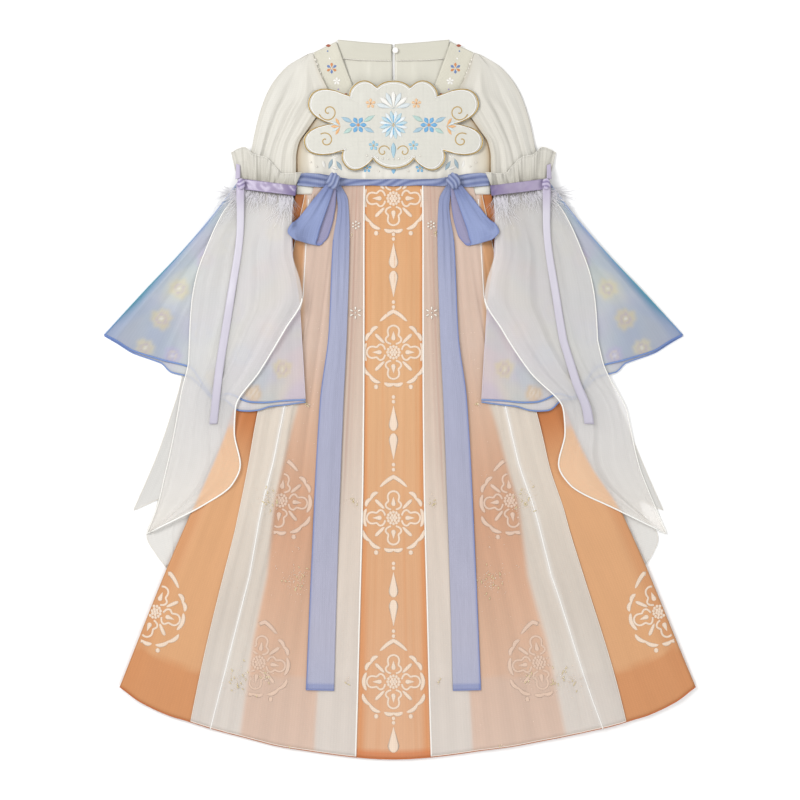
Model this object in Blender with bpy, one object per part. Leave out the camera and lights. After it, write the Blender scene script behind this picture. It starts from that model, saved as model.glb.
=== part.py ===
"""A child's hanfu dress, laid flat on its back and seen from above.

+X is the right of the picture, +Y runs up to the neck and +Z is away from the surface it lies on.
Every piece of cloth is a closed wall that lies on the pieces below it. The left and right sleeves are
made by the same functions, and a side of -1 mirrors them. The lower right side is then spread wider.
"""

import math

import bmesh
import bpy
import numpy as np
from mathutils import Vector
from mathutils.bvhtree import BVHTree

MM = 0.001  # the tables below are in millimetres

HALF_LENGTH = 489.0  # the neck edge is this far above the origin, and the hem this far below it
WAIST_Y = 285.0
WAIST_HALF = 132.5
HEM_HALF = 372.0
HEM_RISE = 98.5  # how far the hem climbs from its middle to the side seams
LINING_Y = -378.0  # the lining's hem in the middle
LINING_RISE = 45.0
OVERSKIRT_HEM_Y = 1.5 - HALF_LENGTH
OVERSKIRT_CELLS = (12, 10)

WALL = 1.2
SHEER_WALL = 1.0  # organza, as thin as a wall here may be
SATIN_WALL = 1.4
SEAM = 0.3  # the space between neighbouring pieces

CELL = 2.5  # the grid that keeps the height of what is laid so far
REACH_X = 425.0
REACH_Y = 502.0
LIFT_ROUNDS = 30
CLOSE_ENOUGH = 0.01
SINK_MARGIN = 0.06  # kept over a seam's width when a finished piece is sunk into place

MIDDLE_X = -8.5  # the tables' middle line, from the middle of the dress's whole width
SPREAD = (  # y, how much wider the right side lies there: the skirt and the front veil, the back veil
    (81.0, 0.0, 0.0),
    (26.5, 11.0, 5.5),
    (-18.0, 24.5, 9.5),
    (-89.0, 26.0, 13.0),
    (-154.0, 35.0, 13.0),
    (-183.0, 35.5, 23.0),
    (-218.0, 36.0, 30.0),
    (-327.0, 37.0, 34.0),
    (-490.0, 42.0, 34.0),
)
SPREAD_SHARE = (  # x, the share of it that a place so far out moves
    (116.0, 0.0),
    (174.0, 0.31),
    (204.0, 0.6),
    (231.0, 0.75),
    (272.0, 1.0),
    (420.0, 1.0),
)

# Each section row runs across a panel: inner edge x, y and outer edge x, y, in millimetres from
# the middle of the dress. A fold row gives a soft ridge: where it starts and ends across the
# panel, its rise, its half width across, and the stretch of the panel's length that it covers.
FOLD = ("top", "foot", "rise", "width", "start", "end")

SKIRT_SIDE = (  # y, half width
    (WAIST_Y, WAIST_HALF),
    (134.0, 171.0),
    (-57.0, 233.0),
    (-140.0, 269.0),
    (-230.0, 308.0),
    (HEM_RISE - HALF_LENGTH, HEM_HALF),
)
HEM_SHAPE = (  # share of the half width, share of the hem's drop; the first row keeps the middle level
    (-0.39, 0.84),
    (0.0, 1.0),
    (0.39, 0.84),
    (0.56, 0.684),
    (0.65, 0.594),
    (0.76, 0.463),
    (0.82, 0.394),
    (0.92, 0.2175),
    (1.0, 0.0),
)
LINING_SHAPE = ((-0.48, 0.89), (0.0, 1.0), (0.48, 0.89), (0.75, 0.764), (0.85, 0.51), (1.0, 0.0))
OVERSKIRT_EDGES = (  # down the skirt 0 to 1, inner edge and outer edge as shares of the half width
    (0.0, 0.293, 0.905),
    (0.25, 0.225, 0.88),
    (0.42, 0.189, 0.858),
    (0.67, 0.155, 0.778),
    (0.91, 0.140, 0.753),
    (1.0, 0.137, 0.742),
)
SKIRT_FOLDS = (
    (0.06, 0.05, 2.2, 0.022, 0.0, 0.8),
    (0.165, 0.15, 2.4, 0.024, 0.0, 1.0),
    (0.30, 0.27, 2.0, 0.022, 0.05, 0.9),
    (0.43, 0.44, 1.6, 0.024, 0.0, 0.7),
    (0.56, 0.57, 1.8, 0.024, 0.0, 0.85),
    (0.70, 0.735, 2.2, 0.022, 0.0, 0.95),
    (0.84, 0.845, 2.4, 0.024, 0.0, 1.0),
    (0.945, 0.955, 2.0, 0.022, 0.1, 0.9),
)
OVERSKIRT_FOLDS = (
    (0.08, 0.16, 1.6, 0.05, 0.0, 0.75),
    (0.30, 0.38, 2.4, 0.06, 0.0, 1.0),
    (0.52, 0.66, 2.0, 0.05, 0.05, 1.0),
    (0.74, 0.86, 2.6, 0.06, 0.0, 0.9),
    (0.95, 0.97, 1.4, 0.04, 0.2, 1.0),
)

BODICE_SIDE = (  # y, half width at the armhole
    (408.0, 84.5),
    (386.0, 102.5),
    (364.5, 117.3),
    (348.0, 128.0),
    (328.0, 131.3),
    (309.0, 131.0),
    (290.0, 132.0),
)
BACK_SIDE = (  # y, half width of the back at the sleeve seam
    (485.0, 76.0),
    (470.0, 106.0),
    (430.0, 114.0),
    (390.0, 121.0),
    (348.0, 128.0),
    (309.0, 131.0),
    (290.0, 132.0),
)
BODICE_FOLDS = (
    (0.10, 0.13, 2.6, 0.05, 0.3, 1.0),
    (0.24, 0.25, 1.8, 0.04, 0.6, 1.0),
    (0.76, 0.74, 2.0, 0.04, 0.6, 1.0),
    (0.91, 0.88, 2.6, 0.05, 0.3, 1.0),
)
COLLAR = (
    (2.4, 483.0, 2.8, 460.5),
    (40.0, 485.6, 40.0, 461.0),
    (76.2, 488.9, 74.5, 464.0),
)
SLIT_HALF = 1.6  # the opening in the middle of the back, down to the plaque
SLIT_FOOT = 434.0
BUTTON_RADIUS = 4.2
BUTTON_AT = (2.5, 474.0)
BUTTON_RINGS = ((0.35, 0.0), (0.8, 1.2), (1.0, 2.4), (0.8, 3.6), (0.4, 4.2))  # share of radius, rise

STRAP = (
    (77.4, 486.0, 109.3, 470.6),
    (68.0, 460.0, 101.0, 446.0),
    (51.0, 415.5, 86.2, 409.0),
)
UPPER_SLEEVE = (
    (109.8, 470.4, 116.0, 469.0),
    (101.5, 447.0, 144.8, 452.3),
    (86.6, 410.0, 169.0, 422.0),
    (103.0, 386.0, 181.0, 392.0),
    (118.0, 364.5, 188.5, 363.0),
    (128.5, 348.0, 193.0, 340.0),
    (132.0, 328.0, 198.0, 325.0),
    (132.0, 309.0, 204.0, 308.0),
    (132.6, 287.5, 210.5, 295.0),
)
UPPER_FOLDS = (
    (0.20, 0.12, 3.0, 0.07, 0.25, 1.0),
    (0.42, 0.34, 4.2, 0.09, 0.15, 1.0),
    (0.62, 0.55, 3.4, 0.07, 0.30, 1.0),
    (0.84, 0.80, 4.0, 0.08, 0.20, 1.0),
)
FRILL = (
    (124.0, 307.0, 132.5, 286.5),
    (133.0, 306.0, 137.0, 287.0),
    (150.5, 306.0, 152.0, 289.0),
    (161.0, 316.5, 164.0, 290.5),
    (175.0, 329.0, 176.0, 292.5),
    (189.0, 332.0, 188.0, 294.0),
    (203.0, 343.0, 200.0, 296.0),
    (221.0, 336.0, 211.5, 297.5),
)
FRILL_WAVES = 6.5
FRILL_RISE = 4.0
BAND = ((131.0, 281.0), (211.5, 292.5))  # the ribbon's middle line, from the bodice outwards
BAND_WIDTH = 14.0
RIBBON_KNOT = (206.0, 291.0, 5.5, 7.5, 4.0)  # x, y, half width, half height, rise

BELL = (
    (135.0, 283.0, 212.0, 293.0),
    (136.8, 240.0, 250.0, 244.0),
    (135.5, 190.0, 292.0, 196.0),
    (127.0, 130.0, 335.0, 151.0),
    (123.0, 66.0, 365.0, 119.0),
    (119.0, -4.0, 393.5, 88.4),
)
BELL_FRONT_HEM = (  # across, drop below the straight hem
    (0.0, -3.0),
    (0.10, 7.5),
    (0.22, 21.0),
    (0.30, 26.0),
    (0.37, 23.5),
    (0.46, 35.5),
    (0.50, 26.5),
    (0.577, 5.5),
    (0.72, 8.7),
    (0.85, 9.7),
    (0.94, 3.5),
    (1.0, 0.7),
)
BELL_BACK_HEM = (
    (0.0, 0.0),
    (0.10, 13.0),
    (0.18, 23.0),
    (0.23, 32.0),
    (0.29, 39.0),
    (0.34, 42.0),
    (0.40, 34.0),
    (0.46, 38.5),
    (0.52, 27.0),
    (0.58, 19.0),
    (0.67, 21.0),
    (0.72, 13.0),
    (0.85, 12.5),
    (0.94, 6.0),
    (1.0, 2.0),
)
INNER_BELL = (
    (139.0, 282.0, 208.0, 291.0),
    (139.0, 230.0, 252.0, 236.0),
    (133.0, 170.0, 295.0, 187.0),
    (130.0, 113.0, 331.0, 140.0),
)
INNER_HEM = ((0.0, 0.0), (0.3, 24.0), (0.55, 34.0), (0.75, 22.0), (1.0, 0.0))
BELL_FOLDS = (
    (0.07, 0.10, 2.2, 0.045, 0.02, 0.7),
    (0.19, 0.24, 3.2, 0.05, 0.0, 1.0),
    (0.33, 0.36, 2.4, 0.045, 0.03, 0.8),
    (0.46, 0.50, 3.6, 0.05, 0.0, 1.0),
    (0.60, 0.64, 2.6, 0.045, 0.02, 0.75),
    (0.74, 0.78, 3.0, 0.05, 0.0, 0.95),
    (0.90, 0.92, 2.0, 0.045, 0.03, 1.0),
)

VEIL = (
    (136.0, 274.0, 206.0, 285.0),
    (137.0, 240.0, 232.0, 252.0),
    (136.8, 202.0, 254.0, 205.0),
    (125.0, 157.0, 268.0, 165.0),
    (122.5, 136.0, 274.0, 130.0),
    (146.0, 94.0, 276.5, 96.0),
    (180.0, 38.0, 278.5, 52.0),
    (213.0, -11.0, 288.0, 12.0),
    (215.0, -45.0, 296.0, -32.0),
    (207.0, -88.0, 304.0, -72.0),
    (218.0, -115.0, 312.0, -106.0),
    (255.0, -142.0, 320.0, -140.0),
    (324.0, -177.0, 336.0, -183.0),
)
VEIL_FOLDS = (
    (0.12, 0.15, 1.8, 0.07, 0.02, 0.6),
    (0.35, 0.30, 2.6, 0.08, 0.0, 1.0),
    (0.60, 0.55, 2.0, 0.07, 0.02, 0.9),
    (0.85, 0.80, 2.4, 0.07, 0.0, 1.0),
)
VEIL_BACK = (
    (170.0, 150.0, 262.0, 150.0),
    (180.0, 90.0, 280.0, 92.0),
    (196.0, 30.0, 288.0, 30.0),
    (218.0, -24.0, 305.0, -28.0),
    (232.0, -58.0, 322.0, -77.0),
    (246.0, -84.0, 354.0, -151.0),
    (258.0, -112.0, 320.0, -135.5),
    (268.0, -142.0, 325.0, -155.0),
    (276.0, -170.0, 336.0, -185.0),
    (285.0, -198.0, 322.0, -212.0),
    (296.0, -222.0, 309.0, -229.0),
)

RIBBON_TAIL = (
    (201.5, 292.0, 212.5, 291.5),
    (202.0, 240.0, 212.0, 240.0),
    (216.0, 130.0, 226.5, 131.0),
    (230.0, 40.0, 241.0, 42.0),
    (238.5, -33.0, 249.5, -33.5),
)
RIBBON_END = ((207.0, 299.0, 214.0, 298.0), (208.0, 318.0, 213.5, 320.0))

SASH = (  # x, upper edge, lower edge
    (-130.0, 305.0, 289.0),
    (-118.0, 307.0, 288.0),
    (-100.0, 306.0, 287.0),
    (-82.0, 303.0, 289.0),
    (-60.0, 299.0, 289.5),
    (-30.0, 298.5, 290.0),
    (0.0, 299.0, 289.0),
    (30.0, 298.5, 290.0),
    (60.0, 299.5, 289.0),
    (82.0, 303.0, 289.0),
    (100.0, 306.0, 287.0),
    (118.0, 307.0, 288.0),
    (130.0, 305.0, 289.0),
)
SASH_CELLS = (26, 3)
KNOT_CREASE = 0.07
SASH_BACK = ((-128.0, 296.0), (128.0, 296.0))
SASH_BACK_WIDTH = 15.0
WAISTBAND = ((-131.0, 281.0), (131.0, 281.0))
WAISTBAND_WIDTH = 9.0
SASH_KNOT = (81.0, 295.0, 9.5, 11.0, 5.5)
LOOP = (
    (77.0, 290.5, 90.0, 293.0),
    (79.0, 269.0, 108.0, 272.0),
    (83.0, 240.0, 128.0, 240.0),
    (90.0, 211.0, 141.0, 217.0),
)
LOOP_FOLDS = ((0.25, 0.3, 1.6, 0.12, 0.0, 0.8), (0.65, 0.6, 2.2, 0.13, 0.0, 0.9))
LOOP_WALL = 2.8  # the band and its way back, pressed together
TAIL = (
    (71.5, 290.0, 80.5, 291.0),
    (61.5, 270.0, 75.5, 262.0),
    (59.5, 228.0, 82.0, 215.0),
    (63.0, 90.0, 88.0, 88.0),
    (67.5, -2.0, 99.5, -2.0),
    (75.5, -219.0, 111.0, -219.0),
    (80.5, -395.0, 118.5, -394.0),
)

PLAQUE_CENTRE = (0.0, 368.0)
PLAQUE_LOBES = (  # degrees round from the side, reach, half width in degrees
    (90.0, 65.0, 34.0),
    (48.0, 80.0, 21.0),
    (19.0, 122.0, 17.0),
    (-10.0, 124.0, 15.0),
    (-37.0, 84.0, 19.0),
    (-90.0, 56.0, 40.0),
)
PLAQUE_CORE = 44.0  # the reach of the notches between its lobes
PLAQUE_WALL = 2.2
PLAQUE_EDGE = 0.6  # how much thinner its edge is
PLAQUE_SPOKES = 72
PLAQUE_RINGS = 3

FEATHER_DROP = 10.5  # the strip's place below the ribbon's middle line
FEATHER_STRIP = (3.0, 1.4)  # width, thickness
FEATHER_ROOT = 1.5  # half the width of a lock where it leaves the strip
FEATHER_SIZES = (0.7, 0.2)  # half the thickness of a lock at its middle and at its tip
FEATHERS = (  # along the strip 0 to 1, length, lean in degrees, 0 is straight down
    (0.03, 30.0, -8.0),
    (0.07, 38.0, 6.0),
    (0.11, 26.0, 20.0),
    (0.16, 42.0, 12.0),
    (0.22, 34.0, -10.0),
    (0.32, 24.0, 16.0),
    (0.42, 24.0, -6.0),
    (0.54, 22.0, 10.0),
    (0.67, 26.0, -4.0),
    (0.73, 22.0, 18.0),
    (0.79, 28.0, 36.0),
    (0.84, 34.0, 48.0),
    (0.89, 40.0, 58.0),
    (0.93, 42.0, 66.0),
    (0.97, 38.0, 76.0),
)

CLOTH = {  # colour, roughness
    "cream_satin": ((0.84, 0.81, 0.68, 1.0), 0.45),
    "orange_organza": ((0.80, 0.42, 0.17, 1.0), 0.6),
    "lining": ((0.85, 0.55, 0.33, 1.0), 0.6),
    "overskirt_organza": ((0.80, 0.56, 0.42, 1.0), 0.6),
    "blue_sash": ((0.27, 0.33, 0.60, 1.0), 0.7),
    "bell_organza": ((0.50, 0.58, 0.75, 1.0), 0.5),
    "veil_organza": ((0.80, 0.79, 0.76, 1.0), 0.5),
    "lilac_ribbon": ((0.46, 0.38, 0.60, 1.0), 0.3),
    "feather": ((0.86, 0.83, 0.88, 1.0), 0.8),
    "embroidery": ((0.88, 0.88, 0.86, 1.0), 0.5),
    "pearl": ((0.90, 0.88, 0.84, 1.0), 0.2),
}


def clear_scene():
    for thing in list(bpy.data.objects):
        bpy.data.objects.remove(thing)


def cloth(name):
    """The material of this name, made the first time that it is asked for."""
    found = bpy.data.materials.get(name)
    if found:
        return found
    colour, roughness = CLOTH[name]
    made = bpy.data.materials.new(name)
    made.use_nodes = True
    shader = made.node_tree.nodes["Principled BSDF"]
    shader.inputs["Base Color"].default_value = colour
    shader.inputs["Roughness"].default_value = roughness
    shader.inputs["Metallic"].default_value = 0.0
    return made


def curve(knots, values, at):
    """A smooth line through the values at the knots, which never swings past them, read at other places."""
    knots = np.asarray(knots, float)
    values = np.asarray(values, float)
    steep = np.diff(values) / np.diff(knots)
    before, after = steep[:-1], steep[1:]
    same_way = before * after > 0
    total = np.where(same_way, before + after, 1.0)
    slopes = np.concatenate([steep[:1], np.where(same_way, 2 * before * after / total, 0.0), steep[-1:]])
    i = np.clip(np.searchsorted(knots, at, "right") - 1, 0, len(knots) - 2)
    span = knots[i + 1] - knots[i]
    s = (at - knots[i]) / span
    rise = values[i + 1] - values[i]
    a = span * slopes[i] - rise
    b = rise - span * slopes[i + 1]
    return values[i] + s * rise + s * (1 - s) * ((1 - s) * a + s * b)


def bump(t):
    """1 at 0, falling smoothly to 0 at 1 and beyond."""
    return np.where(np.abs(t) < 1, 0.5 + 0.5 * np.cos(np.pi * np.clip(t, -1, 1)), 0.0)


def ridges(rows, across, down):
    """The rise of all the folds at each place of a panel."""
    rise = np.zeros(np.broadcast(across, down).shape)
    for row in rows:
        fold = dict(zip(FOLD, row, strict=True))
        middle = fold["top"] + (fold["foot"] - fold["top"]) * down
        length = fold["end"] - fold["start"]
        along = (down - fold["start"]) / length
        fade = np.clip(5 * along, 0, 1) * np.clip(3 * (1 - along) + 0.35, 0, 1)
        fade = np.where((along >= 0) & (along <= 1), fade, 0.0)
        rise += fold["rise"] * fade * bump((across - middle) / (1.6 * fold["width"]))
    return rise


def section_knots(rows):
    """How far down the panel each section row is, from 0 to 1."""
    table = np.array(rows, float)
    middles = (table[:, :2] + table[:, 2:]) / 2
    steps = np.hypot(*np.diff(middles, axis=0).T)
    return np.concatenate([[0], np.cumsum(steps)]) / steps.sum()


def sections(rows, across, down):
    """Plan places over a panel that the section rows describe."""
    table = np.array(rows, float)
    knots = section_knots(rows)
    inner_x, inner_y, outer_x, outer_y = (curve(knots, table[:, k], down) for k in range(4))
    return inner_x + (outer_x - inner_x) * across, inner_y + (outer_y - inner_y) * across


def spread(x, y, column=1):
    """x with the lower right side laid wider, by the given column of the spread's table."""
    heights, widths = np.array(SPREAD)[:, (0, column)].T
    places, moved = np.array(SPREAD_SHARE).T
    down = np.clip(-y, -heights[0], -heights[-1])
    out = np.clip(x, places[0], places[-1])
    return x + curve(-heights, widths, down) * curve(places, moved, out)


class Ground:
    """The height of whatever is laid so far, above each cell of a square grid."""

    def __init__(self):
        self.columns = int(2 * REACH_X / CELL)
        self.lines = int(2 * REACH_Y / CELL)
        self.height = np.full((self.columns, self.lines), -SEAM)
        self.spread = self.height.copy()
        self.laid = []

    def slack(self, points, faces):
        """How far a piece can still sink before it is a seam's width from something below it."""
        tree = BVHTree.FromPolygons([Vector(p) for p in points], faces)
        fans = [(f[0], f[k], f[k + 1]) for f in faces for k in range(1, len(f) - 1)]
        spots = (shares(4) @ points[np.array(fans)]).reshape(-1, 3)
        least = points[:, 2].min() + SEAM
        bound = spots[:, 2] - self.under(spots[:, 0], spots[:, 1])
        down, up = Vector((0, 0, -1)), Vector((0, 0, 1))
        for k in np.argsort(bound):
            if bound[k] >= least:
                break
            for below, _ in self.laid:
                hit = below.ray_cast(Vector(spots[k]), down)[0]
                if hit is not None:
                    least = min(least, spots[k, 2] - hit.z)
        low, high = points.min(0), points.max(0)
        for _, corners in self.laid:
            near = (corners[:, :2] >= low[:2]).all(1) & (corners[:, :2] <= high[:2]).all(1)
            for corner in corners[near]:
                hit = tree.ray_cast(Vector(corner), up)[0]
                if hit is not None:
                    least = min(least, hit.z - corner[2])
        return least - SEAM - SINK_MARGIN

    def add(self, points, faces):
        tree = BVHTree.FromPolygons([Vector(p) for p in points], faces)
        self.laid.append((tree, points))
        low = points.min(0)
        high = points.max(0)
        first_x = int((low[0] + REACH_X) / CELL)
        last_x = int((high[0] + REACH_X) / CELL) + 1
        first_y = int((low[1] + REACH_Y) / CELL)
        last_y = int((high[1] + REACH_Y) / CELL) + 1
        down = Vector((0, 0, -1))
        for i in range(first_x, last_x + 1):
            for j in range(first_y, last_y + 1):
                eye = Vector((i * CELL - REACH_X, j * CELL - REACH_Y, high[2] + 1))
                hit = tree.ray_cast(eye, down)[0]
                if hit is not None:
                    self.height[i, j] = max(self.height[i, j], hit.z)
        at_x = np.rint((points[:, 0] + REACH_X) / CELL).astype(int)
        at_y = np.rint((points[:, 1] + REACH_Y) / CELL).astype(int)
        np.maximum.at(self.height, (at_x, at_y), points[:, 2])
        wide = self.height.copy()
        for shift_x in (-1, 0, 1):
            for shift_y in (-1, 0, 1):
                moved = np.roll(self.height, (shift_x, shift_y), (0, 1))
                wide = np.maximum(wide, moved)
        self.spread = wide

    def under(self, x, y):
        i = np.clip(np.rint((x + REACH_X) / CELL).astype(int), 0, self.columns - 1)
        j = np.clip(np.rint((y + REACH_Y) / CELL).astype(int), 0, self.lines - 1)
        return self.spread[i, j]


GROUND = Ground()


def grid_faces(columns, lines):
    """Both triangles of each cell of a grid of points, as point numbers."""
    i, j = np.meshgrid(np.arange(columns), np.arange(lines), indexing="ij")
    a = (i * (lines + 1) + j).ravel()
    b = a + lines + 1
    return np.concatenate([np.stack([a, b, b + 1], 1), np.stack([a, b + 1, a + 1], 1)])


def shares(steps):
    """Even places inside a triangle, as shares of its three corners."""
    return np.array(
        [(a, b, steps - a - b) for a in range(steps + 1) for b in range(steps + 1 - a)], float
    ) / steps


def lifted(x, y, z, corners, steps):
    """The heights z, raised as little as clears what is below every triangle."""
    part = shares(steps)
    need = GROUND.under(x[corners] @ part.T, y[corners] @ part.T) + SEAM
    weight = part / (part**2).sum(1, keepdims=True)
    for _ in range(LIFT_ROUNDS):
        short = need - z[corners] @ part.T
        if short.max() < CLOSE_ENOUGH:
            break
        push = np.clip(short, 0, None)[:, :, None] * weight[None]
        lift = np.zeros_like(z)
        np.maximum.at(lift, corners, push.max(1))
        z = z + lift
    return z


def settle(x, y, smooth=2):
    """The lowest height at which a sheet of grid points clears everything below it."""
    corners = grid_faces(x.shape[0] - 1, x.shape[1] - 1)
    flat_x, flat_y = x.ravel(), y.ravel()
    z = lifted(flat_x, flat_y, GROUND.under(flat_x, flat_y) + SEAM, corners, 5).reshape(x.shape)
    for _ in range(smooth):
        padded = np.pad(z, 1, mode="edge")
        mean = (padded[:-2, 1:-1] + padded[2:, 1:-1] + padded[1:-1, :-2] + padded[1:-1, 2:]) / 4
        z = np.maximum(z, mean)
    return z


def rim_of(columns, lines):
    """The grid's edge points in order."""
    number = np.arange((columns + 1) * (lines + 1)).reshape(columns + 1, lines + 1)
    return np.concatenate(
        [number[:-1, 0], number[-1, :-1], number[:0:-1, -1], number[0, :0:-1]]
    )


def make_object(name, points, faces, tone):
    """One closed solid from points in millimetres, sunk onto what is below it. It raises the ground."""
    faces = [tuple(int(k) for k in f) for f in faces]
    points = np.array(points, float)
    points[:, 2] -= max(0.0, GROUND.slack(points, faces))
    mesh = bpy.data.meshes.new(name)
    mesh.from_pydata([((p[0] + MIDDLE_X) * MM, p[1] * MM, p[2] * MM) for p in points], [], faces)
    shape = bmesh.new()
    shape.from_mesh(mesh)
    bmesh.ops.recalc_face_normals(shape, faces=shape.faces)
    bmesh.ops.triangulate(shape, faces=shape.faces)
    shape.to_mesh(mesh)
    shape.free()
    mesh.materials.append(cloth(tone))
    made = bpy.data.objects.new(name, mesh)
    bpy.context.scene.collection.objects.link(made)
    GROUND.add(points, faces)


def wall_between(name, x, y, low, high, tone):
    """A closed wall between two heights over one grid of plan places."""
    columns, lines = x.shape[0] - 1, x.shape[1] - 1
    count = x.size
    bottom = np.stack([x.ravel(), y.ravel(), low.ravel()], 1)
    top = np.stack([x.ravel(), y.ravel(), high.ravel()], 1)
    cells = grid_faces(columns, lines)
    rim = rim_of(columns, lines)
    after = np.roll(rim, -1)
    sides = [(a, b, b + count, a + count) for a, b in zip(rim, after, strict=True)]
    faces = [tuple(c) for c in cells + count] + [tuple(c[::-1]) for c in cells] + sides
    return make_object(name, np.concatenate([bottom, top]), faces, tone)


def panel(name, rows, cells, tone, side=1, folds=(), hem=None, wall=WALL, wave=None, smooth=2, wider=0):
    """A piece of cloth laid on what is below it. hem gives the drop across its last section, wave is
    a further rise over (across, down), and wider is the column of the spread that it follows."""
    columns, lines = cells
    across = np.linspace(0, 1, columns + 1)[:, None]
    places = np.linspace(0, len(rows) - 1, lines + 1)[None, :]
    down = np.interp(places, np.arange(len(rows)), section_knots(rows))
    x, y = sections(rows, across, down)
    if hem:
        spots, drops = zip(*hem, strict=True)
        y = y - curve(spots, drops, across) * down**3
    x = side * x
    if wider:
        x = spread(x, y, wider)
    low = settle(x, y, smooth) + ridges(folds, across, down)
    if wave is not None:
        low = low + wave(across, down)
    return wall_between(name, x, y, low, low + wall, tone)


def skirt_plan(across, down, hem_y=-HALF_LENGTH, hem_rise=HEM_RISE, shape=HEM_SHAPE):
    """Plan places on the skirt. across is -1 at one side seam and 1 at the other."""
    heights, halves = np.array(SKIRT_SIDE).T
    spots, drops = np.array(shape).T
    side_y = WAIST_Y + (hem_y + hem_rise - WAIST_Y) * down
    x = across * curve(-heights, halves, -side_y)
    y = side_y - hem_rise * down**1.5 * curve(spots, drops, np.abs(across))
    return x, y


def skirt_layer(name, cells, tone, folds=(), inset=0.0, hem=()):
    """A layer of the skirt from one side seam to the other. hem gives another hem than the outer one."""
    columns, lines = cells
    across = np.linspace(-1 + inset, 1 - inset, columns + 1)[:, None]
    down = np.linspace(0, 1, lines + 1)[None, :]
    x, y = skirt_plan(across, down, *hem)
    x = spread(x, y)
    low = settle(x, y) + ridges(folds, (across + 1) / 2, down)
    return wall_between(name, x, y, low, low + WALL, tone)


def overskirt(name, side):
    columns, lines = OVERSKIRT_CELLS
    share = np.linspace(0, 1, columns + 1)[:, None]
    down = np.linspace(0, 1, lines + 1)[None, :]
    spots, inner, outer = np.array(OVERSKIRT_EDGES).T
    start, end = curve(spots, inner, down), curve(spots, outer, down)
    x, y = skirt_plan(start + (end - start) * share, down, OVERSKIRT_HEM_Y)
    x = spread(side * x, y)
    low = settle(x, y) + ridges(OVERSKIRT_FOLDS, share, down)
    return wall_between(name, x, y, low, low + SHEER_WALL, "overskirt_organza")


def side_panel(name, table, side, middle, cells, tone, top_dip=0.0, folds=()):
    """A bodice panel from its middle line out to the armhole. middle gives x at each y."""
    columns, lines = cells
    share = np.linspace(0, 1, columns + 1)[:, None]
    down = np.linspace(0, 1, lines + 1)[None, :]
    heights, halves = np.array(table).T
    edge_y = heights[0] + (heights[-1] - heights[0]) * down
    outer = curve(-heights, halves, -edge_y)
    inner = middle(edge_y)
    x = inner + (outer - inner) * share
    y = edge_y + top_dip * (1 - share) * (1 - down)
    low = settle(side * x, y) + ridges(folds, share, down)
    return wall_between(name, side * x, y, low, low + SATIN_WALL, tone)


def slit(y):
    """The inner edge of each back panel: wide apart in the slit, and a seam below it."""
    return np.where(y > SLIT_FOOT, SLIT_HALF, SEAM / 2)


def front_bodice():
    columns, lines = 16, 5
    across = np.linspace(-1, 1, columns + 1)[:, None]
    down = np.linspace(0, 1, lines + 1)[None, :]
    heights, halves = np.array(BODICE_SIDE).T
    y = heights[0] + (heights[-1] - heights[0]) * down + 0 * across
    x = across * curve(-heights, halves, -y)
    low = settle(x, y) + ridges(BODICE_FOLDS, (across + 1) / 2, down)
    wall_between("front_bodice", x, y, low, low + SATIN_WALL, "cream_satin")


def collar(name, side):
    panel(name, COLLAR, (2, 6), "cream_satin", side, wall=SATIN_WALL)


def button():
    """A covered button on the collar's end, with its shank down to the cloth."""
    sides = 10
    spot_x, spot_y = BUTTON_AT
    base = float(GROUND.under(np.array([spot_x]), np.array([spot_y]))[0]) + SEAM
    points = []
    for share, rise in BUTTON_RINGS:
        for k in range(sides):
            turn = 2 * math.pi * k / sides
            radius = BUTTON_RADIUS * share
            points.append((spot_x + radius * math.cos(turn), spot_y + radius * math.sin(turn), base + rise))
    make_object("back_button", np.array(points), ring_faces(sides, len(BUTTON_RINGS)), "pearl")


def ring_faces(sides, rings):
    """The faces of a lump whose points are rings of the same count, closed at both ends."""
    faces = [tuple(range(sides))[::-1]]
    for ring in range(rings - 1):
        for k in range(sides):
            a = ring * sides + k
            b = ring * sides + (k + 1) % sides
            faces.append((a, b, b + sides, a + sides))
    faces.append(tuple(range((rings - 1) * sides, rings * sides)))
    return faces


def plaque_reach(turn):
    """How far the cloud-shaped plaque reaches at an angle. The lobes are rounded and meet in notches."""
    degrees = math.degrees(math.atan2(math.sin(turn), abs(math.cos(turn))))
    best = PLAQUE_CORE
    for place, reach, width in PLAQUE_LOBES:
        away = abs(degrees - place) / width
        if away < 1:
            best = max(best, PLAQUE_CORE + (reach - PLAQUE_CORE) * (1 - away**2.4) ** 0.5)
    return best


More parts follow.
